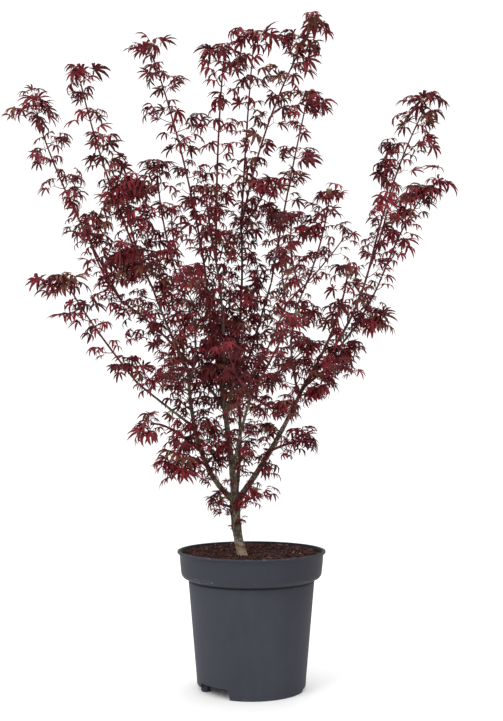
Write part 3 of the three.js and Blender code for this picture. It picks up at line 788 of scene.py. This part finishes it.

# ---------------------------------------------------------------- leaders, shoots and leaves
# Each mass of foliage is one leader on from its limb, with opposite side shoots at its joints
# that carry pairs of leaves on thin stalks. A leaf has seven very narrow pointed lobes, which
# arch over and hang. It is wine red to crimson, and bronze when young. Darker, dusky sprays are
# dealt mostly to the front of the crown's middle, as painted shade.

MASSES = {
    # name: parent, share of its length, reach of its shoots, fullness, leaf size, middle, tip
    "foliage_far_left": ("limb_far_left", 1, 30, 0.5, 1, (-360, 35, 930), (-418, 45, 1090)),
    "foliage_low_left": ("limb_low_left", 1, 32, 0.75, 0.92, (-272, -100, 640), (-328, -110, 728)),
    "foliage_outer_left": ("limb_outer_left", 1, 30, 0.62, 0.95, (-259, -40, 912), (-319, -45, 1121)),
    "foliage_top_left": ("limb_centre_left", 1, 30, 0.55, 1, (-140, 108, 1015), (-208, 120, 1238)),
    "foliage_top_centre": ("limb_centre", 1, 30, 0.55, 1, (-62, -25, 980), (-50, -30, 1165)),
    "foliage_top_back": ("limb_centre_right", 1, 30, 0.5, 1, (-8, 85, 1070), (6, 90, 1244)),
    "foliage_top_right": ("limb_centre_right", 1, 30, 0.52, 1, (36, 42, 1060), (124, 40, 1250)),
    "foliage_middle_right": ("limb_back_right", 1, 32, 0.55, 0.92, (72, 42, 930), (109, 20, 1104)),
    "foliage_upper_right": ("limb_upper_right", 1, 32, 0.52, 1, (284, 70, 965), (352, 80, 1112)),
    "foliage_outer_right": ("limb_outer_right", 1, 32, 0.75, 0.95, (285, -32, 845), (328, -40, 905)),
    "foliage_left_front": ("limb_far_left", 1, 34, 0.5, 0.88, (-283, -20, 772), (-298, -60, 838)),
    "foliage_shoulder_left": ("limb_outer_left", 1, 38, 1.15, 0.9, (-206, -120, 800), (-209, -195, 885)),
    "foliage_inner_left": ("limb_inner_left", 1, 34, 0.85, 0.9, (-155, -68, 820), (-170, -70, 940)),
    "foliage_front_left": ("limb_inner_left", 1, 34, 0.75, 0.78, (-112, -120, 720), (-100, -180, 715)),
    "foliage_low_front_left": ("bough_left", 1, 36, 0.85, 0.8, (-140, -95, 566), (-144, -168, 536)),
    "foliage_side_left": ("bough_left", 0.42, 30, 0.35, 0.72, (-155, -52, 470), (-188, -85, 464)),
    "foliage_foot_left": ("bough_left", 0.3, 30, 1, 0.88, (-112, -62, 415), (-140, -105, 395)),
    "foliage_centre_front": ("limb_centre", 1, 34, 1, 0.85, (-75, -80, 830), (-80, -140, 885)),
    "foliage_centre_right": ("limb_centre_right", 1, 34, 0.8, 0.75, (12, 5, 885), (32, -55, 915)),
    "foliage_front_low": ("bough_front", 1, 36, 0.5, 0.6, (-28, -160, 562), (-35, -230, 600)),
    "foliage_front_middle": ("bough_front", 1, 38, 0.7, 0.68, (38, -165, 592), (62, -240, 640)),
    "foliage_front_right": ("bough_front", 1, 32, 1, 0.74, (38, -122, 500), (72, -145, 500)),
    "foliage_right_inner": ("limb_inner_right", 1, 32, 0.75, 0.78, (122, -98, 795), (138, -112, 885)),
    "foliage_right_front": ("limb_inner_right", 1, 34, 0.85, 0.82, (68, -135, 770), (72, -180, 830)),
    "foliage_right_middle": ("bough_right", 1, 30, 0.85, 0.9, (150, -42, 652), (172, -90, 756)),
    "foliage_right_low": ("bough_right", 0.96, 34, 1, 0.8, (140, -88, 572), (160, -178, 562)),
    "foliage_right_upper": ("limb_upper_right", 1, 32, 0.5, 0.85, (238, -25, 822), (240, -110, 858)),
    "foliage_right_side": ("limb_outer_right", 0.5, 30, 0.8, 0.82, (208, -45, 660), (227, -66, 645)),
    "foliage_foot_right": ("bough_right", 0.45, 28, 1, 0.8, (75, -18, 440), (110, -45, 442)),
    "foliage_trunk_left": ("trunk", 0.8, 18, 0.4, 0.62, (-58, -24, 330), (-68, -36, 324)),
    "foliage_trunk_right": ("trunk", 0.82, 18, 0.35, 0.6, (-2, -28, 340), (18, -40, 346)),
    "foliage_back_left": ("limb_back_left", 1, 38, 0.3, 0.8, (-160, 238, 840), (-172, 265, 935)),
    "foliage_back_side_left": ("limb_back_left", 1, 36, 0.8, 0.85, (-205, 205, 785), (-262, 190, 826)),
    "foliage_back_middle": ("limb_back_far", 1, 38, 0.45, 0.85, (62, 255, 820), (50, 285, 935)),
    "foliage_back_right": ("limb_back_far", 1, 36, 0.22, 0.75, (140, 222, 795), (205, 235, 880)),
    "foliage_back_low": ("bough_back", 1, 38, 1, 0.85, (-40, 185, 605), (-45, 260, 690)),
    "foliage_back_low_right": ("bough_back", 0.97, 36, 1, 0.85, (50, 170, 575), (120, 220, 640)),
}
NODE_PITCH = 45
LEAST_NODES = 4.5
NODE_TURN = 94
TURN_PLAY = 30
REACH_PLAY = 0.4
SIZE_PLAY = 0.3
TIP_LEAVES = 3
TIP_INSET = 5
TIP_REACH = 0.55
TIP_LIFT = 50
SHOOT_TAPER = 0.35
FIRST_NODE = 30
SHOOT_LIFT = 34
LEADER_SHORT = 20               # leaders end this far below the top of their spray
LEADER_FOOT = 2.6               # greatest radius of a leader's foot, and the radius at its end
LEADER_END = 1.3
FORWARD = -130                  # leaders that end in front of this carry no large end leaves
MIDDLE = (30, 110)              # the middle of the crown, and how far it reaches either way
SHOOT_REACH = 0.68              # a shoot's twig, as a share of the reach of its leaves
JOINT_PITCH = 14                # between the pairs of leaves on a shoot
TWIG_RADII = (0.95, 0.8, 0.7, 0.55)
STALK_RADII = (0.5, 0.4, 0.35)
LEAF_LONG = 32
TIP_LEAF_LONG = 39
LEAF_PLAY = (0.72, 1.08)        # least and greatest size of a leaf, as a share of those
INNER_LEAF = 0.86               # size of the leaves before the pair at a shoot's end
LEAF_OPENING = (38, 66)         # a leaf's stalk stands out from the twig by this, degrees
LEAF_DIP = (14, 20)             # a leaf points this far down, with this spread, degrees
LEAF_ROLL = 22                  # and rolls with this spread, degrees
STALK_SHARES = (0.3, 0.62)      # length of a stalk, as a share of its leaf's
FIRST_PAIR_TURN = 35            # greatest turn of a shoot's first pair, degrees
JOINT_SWELL = 0.28              # a leader is thicker by this share at its joints
JOINT_HALF = 2.4
UP = np.array((0.0, 0, 1))

# Leaves by colour: the colours of their darker and lighter parts.
LEAF_KINDS = {
    "leaves_wine": (colour(86, 19, 27), colour(122, 38, 46)),
    "leaves_crimson": (colour(92, 19, 28), colour(122, 35, 44)),
    "leaves_dusky": (colour(62, 16, 21), colour(94, 30, 35)),
    "leaves_bronze": (colour(80, 42, 31), colour(116, 67, 53)),
    "leaves_olive": (colour(88, 68, 46), colour(132, 106, 78)),
}
KIND_SHARES = {
    # where a spray is: how often it is wine, crimson, dusky and bronze
    "at the tip": (38, 20, 22, 20),
    # Sprays at the front of the crown's middle are mostly dusky: painted shade.
    "front middle, painted shade": (24, 6, 60, 10),
    "elsewhere": (36, 14, 38, 12),
}
LOBES = ((-124, 0.4), (-80, 0.74), (-38, 0.94), (0, 1), (38, 0.94), (80, 0.74), (124, 0.4))
LOBE_STATIONS = ((0.02, 0.34), (0.26, 0.86), (0.52, 1), (0.78, 0.62), (1, 0))
LOBE_HALF = 0.102               # half a lobe's width, as a share of its length
LOBE_FOLD = 0.55                # how far the edges stand above the midrib


def seeded_draws(state):
    """The source's own draws, so that the shoots stand where its leaves do."""
    while True:
        state = (state * 1664525 + 1013904223) % 2**32
        yield state / 2**32


def leaf_places(spread, bend, draws):
    """The source's places: one shoot at each joint, and a few more round the leader's tip."""
    def vary(play):
        return 1 + play * (next(draws) - 0.5)

    pitch = min(NODE_PITCH, bend.length / LEAST_NODES)
    turn = 360 * next(draws)
    along = FIRST_NODE
    while along < bend.length - pitch / 2:
        turn += NODE_TURN + TURN_PLAY * (next(draws) - 0.5)
        reach = spread * (1 - SHOOT_TAPER * (along / bend.length)) * vary(REACH_PLAY)
        yield {"along": along, "turn": turn, "reach": reach, "lift": SHOOT_LIFT,
               "size": vary(SIZE_PLAY), "tip": False}
        along += pitch
    for leaf in range(TIP_LEAVES):
        turn += 360 / TIP_LEAVES
        reach = spread * TIP_REACH * vary(REACH_PLAY)
        yield {"along": bend.length - TIP_INSET * leaf, "turn": turn, "reach": reach,
               "lift": TIP_LIFT, "size": vary(SIZE_PLAY), "tip": True}


def unit(vector):
    return vector / np.linalg.norm(vector)


def shoot_heading(bend, along, turn, lift):
    """Which way a shoot leaves the leader, `turn` round it and `lift` up from square to it."""
    run = bend.heading(along / bend.length)
    side = np.cross(UP, run)
    side = unit(side) if np.linalg.norm(side) > 0.05 else np.array((1.0, 0, 0))
    front = np.cross(run, side)
    turn, lift = math.radians(turn), math.radians(lift)
    outward = side * math.cos(turn) + front * math.sin(turn)
    return outward * math.cos(lift) + run * math.sin(lift)


def leaf_pattern(rng, lobes, rise, fall, spread=1.0):
    """A leaf one unit long: ahead is X, its upper side is Z. The lobes rise, then fall."""
    corners = []
    faces = []
    for turn, share in lobes:
        turn = math.radians(turn * spread + rng.uniform(-7, 7))
        long = share * rng.uniform(0.88, 1.08)
        drop = fall * rng.uniform(0.75, 1.2)
        ahead = np.array((math.cos(turn), math.sin(turn), 0))
        across = np.array((-math.sin(turn), math.cos(turn), 0)) * LOBE_HALF
        fold = np.array((0, 0, LOBE_FOLD * LOBE_HALF))
        point = np.zeros(3)
        walked = 0
        first = len(corners)
        for station, wide in LOBE_STATIONS:
            dip = math.radians(rise - (rise + drop) * (walked + station) / 2)
            step = (station - walked) * long
            point = point + ahead * math.cos(dip) * step + UP * math.sin(dip) * step
            walked = station
            if wide:
                half = across * long * wide
                up = fold * long * wide
                corners += [point + half + up, point, point - half + up]
            else:
                corners.append(point)
        for ring in range(len(LOBE_STATIONS) - 2):
            left, mid, right = (first + 3 * ring + k for k in range(3))
            faces += [(left, mid, mid + 3), (left, mid + 3, left + 3)]
            faces += [(mid, right, right + 3), (mid, right + 3, mid + 3)]
        tip = len(corners) - 1
        faces += [(tip - 3, tip - 2, tip), (tip - 2, tip - 1, tip)]
    return np.array(corners), np.array(faces)


# A few patterns of each size of leaf. In each, the lobes rise and then fall by these degrees.
pattern_draws = random.Random(7)
FULL_LEAVES = [leaf_pattern(pattern_draws, LOBES, rise, fall)
               for rise, fall in ((18, 62), (24, 92), (12, 46), (20, 76), (30, 108), (14, 66))]
SMALL_LEAVES = [leaf_pattern(pattern_draws, LOBES[1:6], rise, fall)
                for rise, fall in ((12, 46), (18, 74), (10, 34), (22, 92))]
YOUNG_LEAVES = [leaf_pattern(pattern_draws, LOBES[1:6], rise, fall, 0.3)
                for rise, fall in ((4, 10), (8, 4))]

leaves = {kind: Joined() for kind in LEAF_KINDS}
leaders = Joined()
twigs = Joined()
stalks = Joined()


def add_leaf(rng, kind, patterns, centre, ahead, up, long):
    """One leaf of a random pattern, laid along `ahead` with its upper side to `up`."""
    shape, faces = rng.choice(patterns)
    across = unit(np.cross(up, ahead))
    up = np.cross(ahead, across)
    leaves[kind].add(centre + long * (shape @ np.array((ahead, across, up))), faces)


def grow_leaf(rng, kind, foot, way, long, small=False):
    """A leaf on its stalk, which leaves the twig along `way` and turns its blade to the sky."""
    stalk = long * rng.uniform(*STALK_SHARES)
    bow = foot + way * stalk * 0.55 + UP * stalk * 0.1
    centre = foot + way * stalk + UP * stalk * 0.12
    stalks.add(*tube([foot, bow, centre], STALK_RADII, 3))
    level = np.array((way[0], way[1], 0))
    if np.linalg.norm(level) < 0.15:
        spin = rng.uniform(0, 2 * math.pi)
        level = level + np.array((math.cos(spin), math.sin(spin), 0))
    level = unit(level)
    dip = math.radians(rng.gauss(*LEAF_DIP))
    ahead = level * math.cos(dip) - UP * math.sin(dip)
    up = level * math.sin(dip) + UP * math.cos(dip)
    roll = math.radians(rng.gauss(0, LEAF_ROLL))
    up = up * math.cos(roll) + np.cross(ahead, up) * math.sin(roll)
    add_leaf(rng, kind, SMALL_LEAVES if small else FULL_LEAVES, centre, ahead, up, long)


def grow_young(rng, foot, way, long):
    """Leaves that are still folded, upright at the end of a shoot."""
    way = unit(way + UP * 1.2)
    neck = foot + way * long * 0.5
    stalks.add(*tube([foot, foot + way * long * 0.25, neck], [0.55, 0.5, 0.4], 3))
    spin = rng.uniform(0, math.pi)
    for turn in (spin, spin + math.pi):
        out = np.array((math.cos(turn), math.sin(turn), 0))
        ahead = unit(way + out * 0.18)
        up = unit(np.cross(np.cross(ahead, out), ahead)) * -1
        add_leaf(rng, "leaves_olive", YOUNG_LEAVES, neck, ahead, up, long * rng.uniform(0.7, 1))


def leaf_kind(rng, foot, tip):
    """The colour that a spray of leaves gets: mostly dusky at the crown's front middle, as painted
    shade.
    """
    kinds = ("leaves_wine", "leaves_crimson", "leaves_dusky", "leaves_bronze")
    middle = foot[1] < FORWARD and abs(foot[0] - MIDDLE[0]) < MIDDLE[1]
    where = "at the tip" if tip else "front middle, painted shade" if middle else "elsewhere"
    return rng.choices(kinds, KIND_SHARES[where])[0]


def grow_shoot(owner, number, foot, heading, reach, long, tip=False, fullness=1.0):
    """A side shoot: a thin twig that turns up a little, with a pair of leaves at each joint."""
    rng = random.Random(f"{owner} {number}")
    main_kind = leaf_kind(rng, foot, tip)
    heading = unit(heading)
    end = foot + heading * reach + UP * reach * 0.1
    bow = foot + heading * reach * 0.55 - UP * reach * 0.02
    twig = Bend(foot, bow, end)
    twigs.add(*tube([twig.point(share) for share in (0, 0.35, 0.7, 1)], TWIG_RADII, 4))
    across = np.cross(heading, UP)
    across = unit(across) if np.linalg.norm(across) > 0.1 else np.array((1.0, 0, 0))
    over = np.cross(across, heading)
    joints = max(1, round(fullness * (1 + reach / JOINT_PITCH)))
    joints = [1 - 0.8 * joint / joints for joint in reversed(range(joints))]
    roll = math.radians(rng.uniform(-FIRST_PAIR_TURN, FIRST_PAIR_TURN))
    for order, share in enumerate(joints):
        roll += math.pi / 2
        kind = main_kind if rng.random() < 0.5 else leaf_kind(rng, foot, tip)
        for half in (0, math.pi):
            turn = roll + half
            out = across * math.cos(turn) + over * math.sin(turn)
            open_by = math.radians(rng.uniform(*LEAF_OPENING))
            way = unit(twig.heading(share) * math.cos(open_by) + out * math.sin(open_by))
            size = long * rng.uniform(*LEAF_PLAY) * (1 if share == 1 else INNER_LEAF)
            grow_leaf(rng, kind, twig.point(share), way, size, small=share < 0.5)
    if rng.random() < (0.5 if tip else 0.3):
        grow_leaf(rng, kind, end, twig.heading(1), long * rng.uniform(0.7, 1))
    if tip and rng.random() < 0.4:
        grow_young(rng, end, twig.heading(1), 13)


def grow_mass(name, seed):
    """A leader from its limb to its tip, thicker at its joints, with the shoots on it."""
    parent, at, spread, fullness, size, mid, tip = MASSES[name]
    bend = Bend(bends[parent].point(at), mid, tip)
    comes_forward = tip[1] < FORWARD
    end_share = 1 - LEADER_SHORT / bend.length
    rng = random.Random(seed)
    shares = np.linspace(0, end_share, max(6, int(bend.length / 9)))
    foot_radius = min(LEADER_FOOT, LIMBS[parent][2][1] * 0.97)
    radii = foot_radius + (LEADER_END - foot_radius) * shares**1.5
    places = list(leaf_places(spread, bend, seeded_draws(seed)))
    for place in places:
        if not place["tip"]:
            near = np.abs(shares * bend.length - place["along"])
            radii = radii * (1 + JOINT_SWELL * np.exp(-((near / JOINT_HALF) ** 2)))
    leaders.add(*tube([bend.point(share) for share in shares], radii, 8))
    number = 0
    for place in places:
        along, turn = place["along"] * end_share, place["turn"]
        foot = bend.point(along / bend.length)
        tip = place["tip"] and not comes_forward
        long = (TIP_LEAF_LONG if tip else LEAF_LONG) * place["size"] * size
        reach = place["reach"] * SHOOT_REACH
        heading = shoot_heading(bend, along, turn, place["lift"])
        grow_shoot(name, number, foot, heading, reach, long, tip, 1.2 * fullness)
        if not place["tip"]:
            heading = shoot_heading(bend, along, turn + 180, place["lift"])
            far = reach * rng.uniform(0.4, 0.95)
            grow_shoot(name, number + 1, foot, heading, far, long * 0.95, False, fullness)
        number += 2
    grow_young(rng, bend.point(end_share), bend.heading(end_share), 16)


for order, name in enumerate(MASSES):
    grow_mass(name, 101 + 17 * order)

# Side shoots that stand straight on the limbs, from a little above each limb's foot.
SHOOT_ROWS = {
    # limb: pitch, least and greatest reach, leaf length, fullness, lowest height
    "bough_centre": (26, 14, 36, 23, 0.6, 430),
    "bough_left": (17, 14, 44, 27, 0.7, 410),
    "bough_right": (24, 12, 34, 24, 0.6, 470),
    "bough_back": (24, 14, 42, 24, 0.7, 390),
    "bough_front": (26, 14, 40, 22, 0.7, 400),
    "limb_low_left": (24, 12, 34, 25, 0.5, 545),
    "limb_outer_left": (19, 14, 44, 28, 0.65, 400),
    "limb_inner_left": (22, 14, 40, 27, 0.7, 400),
    "limb_far_left": (20, 14, 44, 28, 0.65, 400),
    "limb_centre_left": (22, 14, 44, 26, 0.8, 400),
    "limb_centre": (23, 14, 44, 26, 0.75, 400),
    "limb_centre_right": (17, 14, 50, 28, 0.8, 400),
    "limb_back_right": (22, 14, 42, 26, 0.65, 400),
    "limb_back_far": (34, 14, 44, 27, 0.5, 400),
    "limb_back_left": (26, 14, 44, 27, 0.8, 400),
    "limb_upper_right": (34, 10, 30, 24, 0.4, 400),
    "limb_outer_right": (40, 10, 26, 24, 0.5, 400),
    "limb_inner_right": (26, 14, 40, 27, 0.6, 400),
}


def grow_row(name, order):
    """Pairs of shoots along a limb, each pair turned about a quarter from the last."""
    pitch, least, most, leaf_long, fullness, lowest = SHOOT_ROWS[name]
    bend = bends[name]
    rng = random.Random(900 + order)
    along, turn = 24, rng.uniform(0, 360)
    number = 0
    while along < bend.length - 8:
        foot = bend.point(along / bend.length)
        turn += NODE_TURN + rng.uniform(-20, 20)
        for half in (0, 180):
            heading = shoot_heading(bend, along, turn + half, rng.uniform(20, 50))
            reach = rng.uniform(least, most)
            long = leaf_long * rng.uniform(0.85, 1.15)
            if foot[2] > lowest:
                grow_shoot(name, number, foot, heading, reach, long, False, fullness)
            number += 1
        along += pitch * rng.uniform(0.8, 1.2)


for order, name in enumerate(SHOOT_ROWS):
    grow_row(name, order)

NEAR_TIP = 0.85                 # past this share, a shoot on a mass belongs to its tip

# Shoots that stand apart from the rule: small tufts straight on the trunk and at the feet of
# the boughs, and the fuller or longer shoots that give each leader its own outline.
ODD_SHOOTS = {
    # limb or mass: share of its length, which way, reach, leaf length, fullness
    "trunk": [
        (0.6, (1, -0.5, 0.25), 12, 13, 1.8), (0.52, (-1, -0.4, 0.1), 9, 10, 1),
        (0.56, (0.1, -1, 0.2), 8, 10, 1), (0.73, (-1, -0.5, 0), 10, 13, 1.6),
        (0.84, (0.3, -1, 0.3), 10, 17, 1.8), (0.93, (1, -0.4, 0.5), 14, 16, 0.6),
    ],
    "foliage_trunk_right": [(0.85, (1, -0.3, 0.1), 22, 24, 0.8)],
    "bough_left": [
        (0.08, (-0.6, -0.8, 0.4), 10, 17, 1.8), (0.2, (-0.9, -0.5, 0.2), 14, 19, 1.5),
        (0.27, (0.2, -1, 0.1), 16, 24, 1.3), (0.45, (0.8, -0.6, 0.1), 26, 28, 1.3),
        (0.6, (0.9, -0.4, 0.2), 28, 28, 1.2),
    ],
    "bough_right": [
        (0.14, (0.7, -0.5, 0.4), 12, 17, 1), (0.28, (0.8, -0.7, 0.2), 24, 30, 1.4),
        (0.34, (0.1, -0.9, 0.6), 20, 26, 1.2), (0.6, (-0.7, -0.7, 0.2), 26, 26, 1.2),
        (0.93, (1, -0.5, -0.1), 32, 28, 1.2), (0.62, (-0.9, -0.5, 0.1), 28, 28, 1.3),
        (0.99, (0.9, -0.5, -0.6), 30, 28, 1.1), (0.5, (-0.8, -0.6, 0.4), 26, 26, 1.2),
        (0.97, (0.5, -0.6, -0.7), 24, 30, 1.2),
    ],
    "bough_centre": [
        (0.1, (-0.6, -0.8, 0.5), 12, 16, 1.2), (0.24, (0.7, -0.7, 0.5), 18, 20, 1.2),
        (0.3, (-0.9, -0.4, 0.4), 24, 24, 1.2), (0.42, (-0.4, -0.9, 0.1), 22, 26, 1.2),
        (0.32, (-0.9, -0.6, 0.1), 24, 26, 1.2), (0.55, (-0.9, -0.5, 0.1), 28, 26, 1.2),
    ],
    "bough_back": [(0.2, (0.8, -0.2, 0.6), 18, 20, 1.2), (0.36, (0.9, -0.4, 0.3), 24, 24, 1.2)],
    "limb_upper_right": [
        (0.08, (0.9, -0.4, -0.1), 26, 30, 1.4), (0.23, (0.9, -0.5, -0.2), 26, 30, 1),
        (0.37, (0.9, -0.4, -0.3), 24, 30, 0.9), (0.33, (0.8, -0.4, -0.4), 26, 30, 1.1),
    ],
    "limb_outer_right": [
        (0.12, (0.9, -0.4, -0.1), 26, 30, 1.4), (0.3, (0.9, -0.4, -0.2), 24, 30, 1.3),
        (0.75, (-0.4, -0.8, 0.2), 24, 32, 1.2),
    ],
    "limb_far_left": [
        (0.9, (-0.9, -0.4, -0.1), 24, 30, 0.7), (0.99, (-0.9, -0.4, 0.1), 26, 30, 0.7),
    ],
    "foliage_far_left": [
        (0.99, (-0.2, -0.3, 1), 18, 27, 0.5), (0.94, (-1, -0.3, -0.1), 38, 31, 0.4),
        (0.92, (-0.6, -0.8, 0.3), 14, 34, 1.2), (0.95, (0.9, -0.4, 0.2), 18, 34, 1.1),
        (0.8, (1, -0.3, 0.1), 26, 30, 1.2), (0.61, (1, -0.3, 0.2), 30, 28, 0.8),
        (0.52, (0.6, -0.8, 0.2), 18, 34, 1.6), (0.72, (-1, -0.4, 0), 20, 32, 0.7),
    ],
    "foliage_outer_left": [
        (0.98, (-0.4, -0.7, 0.6), 10, 22, 1), (0.95, (0.7, -0.6, 0.3), 14, 28, 1.2),
        (0.62, (0.5, -0.6, 0.6), 28, 34, 1.4), (0.55, (0.9, -0.5, 0.2), 26, 32, 1.2),
        (0.43, (0.9, -0.5, 0.1), 26, 32, 1.3), (0.12, (-1, -0.4, 0.2), 30, 30, 1.3),
        (0.05, (-1, -0.2, 0.1), 34, 30, 1.3), (0.16, (0.8, -0.5, 0.3), 28, 34, 1.3),
        (0.14, (-0.4, -0.8, 0.2), 24, 34, 1.3), (0.08, (-0.9, -0.5, 0.3), 26, 34, 1.2),
    ],
    "foliage_top_left": [
        (0.95, (-1, -0.3, 0.2), 28, 26, 0.8), (0.83, (-0.8, -0.4, 0.5), 18, 34, 1.5),
        (0.64, (-1, -0.3, 0.3), 42, 32, 0.5), (0.6, (1, -0.2, 0.4), 44, 36, 0.5),
        (0.53, (0.6, -0.8, 0.2), 22, 34, 1.5), (0.4, (1, -0.4, 0.2), 28, 30, 1.3),
        (0.8, (0.8, -0.5, 0.2), 24, 34, 1.1),
    ],
    "foliage_top_centre": [
        (0.93, (-0.8, -0.4, 0.5), 24, 38, 0.7), (0.9, (0.8, -0.5, 0.1), 26, 36, 1),
    ],
    "foliage_top_back": [
        (0.98, (-1, -0.3, 0.2), 22, 40, 0.8), (0.97, (1, -0.2, 0.2), 22, 40, 0.8),
    ],
    "foliage_top_right": [
        (0.85, (0.5, -0.9, 0.1), 14, 40, 1.4), (0.76, (0.9, -0.5, 0), 22, 38, 1.4),
        (0.88, (-1, -0.3, 0.2), 30, 36, 1.2), (0.68, (-0.5, -0.7, 0.2), 22, 34, 1),
    ],
    "foliage_middle_right": [
        (0.65, (1, -0.5, 0.1), 26, 38, 1.2), (0.66, (-0.8, -0.6, 0.2), 18, 32, 1.3),
        (0.83, (-0.7, -0.6, 0.4), 18, 32, 0.7), (0.5, (0.2, -0.8, 0.3), 24, 34, 1.3),
        (0.3, (-0.3, -0.8, 0.2), 24, 34, 1.3), (0.12, (0.6, -0.7, 0.1), 24, 34, 1.2),
        (0.9, (1, -0.4, 0.1), 28, 36, 1.1),
    ],
    "foliage_upper_right": [
        (0.93, (-1, -0.4, 0.3), 24, 34, 0.6), (0.84, (-1, -0.4, 0.2), 26, 34, 0.6),
        (0.83, (0.9, -0.4, 0.2), 18, 34, 1.2), (0.7, (1, -0.4, 0), 30, 34, 0.9),
        (0.66, (-1, -0.3, 0.3), 28, 34, 1.3), (0.57, (-1, -0.5, 0.2), 28, 36, 1.5),
        (0.51, (-0.8, -0.6, 0.2), 24, 36, 1.5),
    ],
    "foliage_right_inner": [
        (0.7, (-0.8, -0.7, 0.1), 24, 34, 1.2), (0.55, (-0.6, -0.8, 0.2), 24, 34, 1.5),
    ],
    "foliage_left_front": [
        (0.7, (0.9, -0.4, 0.3), 26, 32, 1.4), (0.95, (0.9, -0.4, 0.1), 26, 34, 1.2),
        (0.8, (0.2, -0.8, 0.3), 24, 34, 1.2), (0.45, (0.9, -0.4, 0.2), 26, 32, 1.1),
    ],
    "foliage_low_left": [
        (0.93, (-1, -0.3, -0.1), 36, 36, 1.2), (0.6, (-0.9, -0.5, 0.3), 30, 34, 1.1),
        (0.06, (0.4, -0.7, 0.6), 24, 32, 1.2),
    ],
    "foliage_shoulder_left": [
        (0.85, (0.9, -0.4, 0.2), 28, 34, 1.3), (0.6, (0.9, -0.4, 0.1), 26, 34, 1.2),
        (0.8, (-0.9, -0.4, 0), 26, 34, 1.3),
    ],
    "foliage_inner_left": [
        (0.8, (-0.9, -0.5, 0.2), 26, 34, 1.2), (0.6, (-0.9, -0.5, 0.3), 26, 34, 1.2),
    ],
    "foliage_outer_right": [
        (0.75, (-0.2, -0.6, 0.7), 22, 36, 1.2), (0.95, (0.6, -0.5, 0.5), 22, 36, 1.1),
        (0.8, (-0.3, -0.8, 0.1), 24, 34, 1.2),
    ],
    "foliage_right_upper": [(0.85, (1, -0.4, 0.2), 26, 34, 1.2)],
    "foliage_side_left": [
        (0.8, (-0.5, -0.6, -0.7), 24, 34, 0.8), (0.45, (0, -0.7, -0.8), 26, 32, 0.8),
    ],
    "foliage_foot_left": [
        (0.8, (-0.4, -0.6, -0.7), 22, 32, 1.2), (0.4, (0.2, -0.7, -0.6), 22, 30, 1.1),
        (0.65, (-0.1, -0.6, -0.8), 22, 34, 1.3),
    ],
    "limb_low_left": [(0.75, (-0.3, -0.6, 0.7), 28, 30, 1.2)],
    "foliage_right_low": [(0.3, (0.5, -0.6, -0.6), 26, 30, 1.3)],
    "foliage_right_middle": [(0.15, (-0.6, -0.6, 0.3), 26, 30, 1.2)],
    "limb_inner_right": [(0.75, (0.9, -0.5, 0.1), 26, 30, 1.3)],
    "foliage_front_middle": [(0.97, (0.3, -1, -0.1), 30, 25, 0.7)],
    "foliage_front_low": [(0.97, (-0.2, -1, -0.2), 30, 22, 0.7)],
}
for name in MASSES:
    parent, at = MASSES[name][:2]
    bends[name] = Bend(bends[parent].point(at), *MASSES[name][-2:])
for name, shoots in ODD_SHOOTS.items():
    for share, way, reach, long, fullness in shoots:
        foot = bends[name].point(share)
        tip = "foliage" in name and share > NEAR_TIP
        grow_shoot(name, share, foot, np.array(way, float), reach, long, tip, fullness)


def leaf_recipe(dark, light):
    def recipe(place):
        veins = place.noise(420, 3, 0.6)
        return {
            "Base Color": place.noise(55, 3, 0.6).between(0.35, 0.65).mix(dark, light),
            "Roughness": veins * 0.15 + 0.48,
            "Specular IOR Level": 0.15,
            "Normal": veins.relief(0.0004, 0.5),
        }
    return recipe


def stem_recipe(dark, light):
    def recipe(place):
        rings = place.stretched((1, 1, 0.3)).noise(260, 3, 0.6)
        return {
            "Base Color": place.noise(30, 3, 0.6).between(0.38, 0.62).mix(dark, light),
            "Roughness": rings * 0.2 + 0.5,
            "Specular IOR Level": 0.12,
            "Normal": rings.relief(0.0004, 0.6),
        }
    return recipe


def place_on_plant(piece):
    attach(piece, "root")
    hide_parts(*MASSES)


for kind, (dark, light) in LEAF_KINDS.items():
    place_on_plant(leaves[kind].piece(kind, finish(kind, leaf_recipe(dark, light)), False))
leader_bark = finish("leader_bark", stem_recipe(colour(66, 24, 31), colour(104, 48, 50)))
place_on_plant(leaders.piece("leaders", leader_bark))
twig_bark = finish("twig_bark", stem_recipe(colour(80, 25, 34), colour(112, 48, 50)))
place_on_plant(twigs.piece("twigs", twig_bark))
stalk_skin = finish("stalk_skin", stem_recipe(colour(90, 27, 37), colour(118, 46, 54)))
place_on_plant(stalks.piece("leaf_stalks", stalk_skin))

# ---------------------------------------------------------------- sizes
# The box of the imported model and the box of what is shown, for comparison.

boxes = {"cad": cad_box, "visual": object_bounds()}
{name: [list(corner) for corner in box] for name, box in boxes.items()}
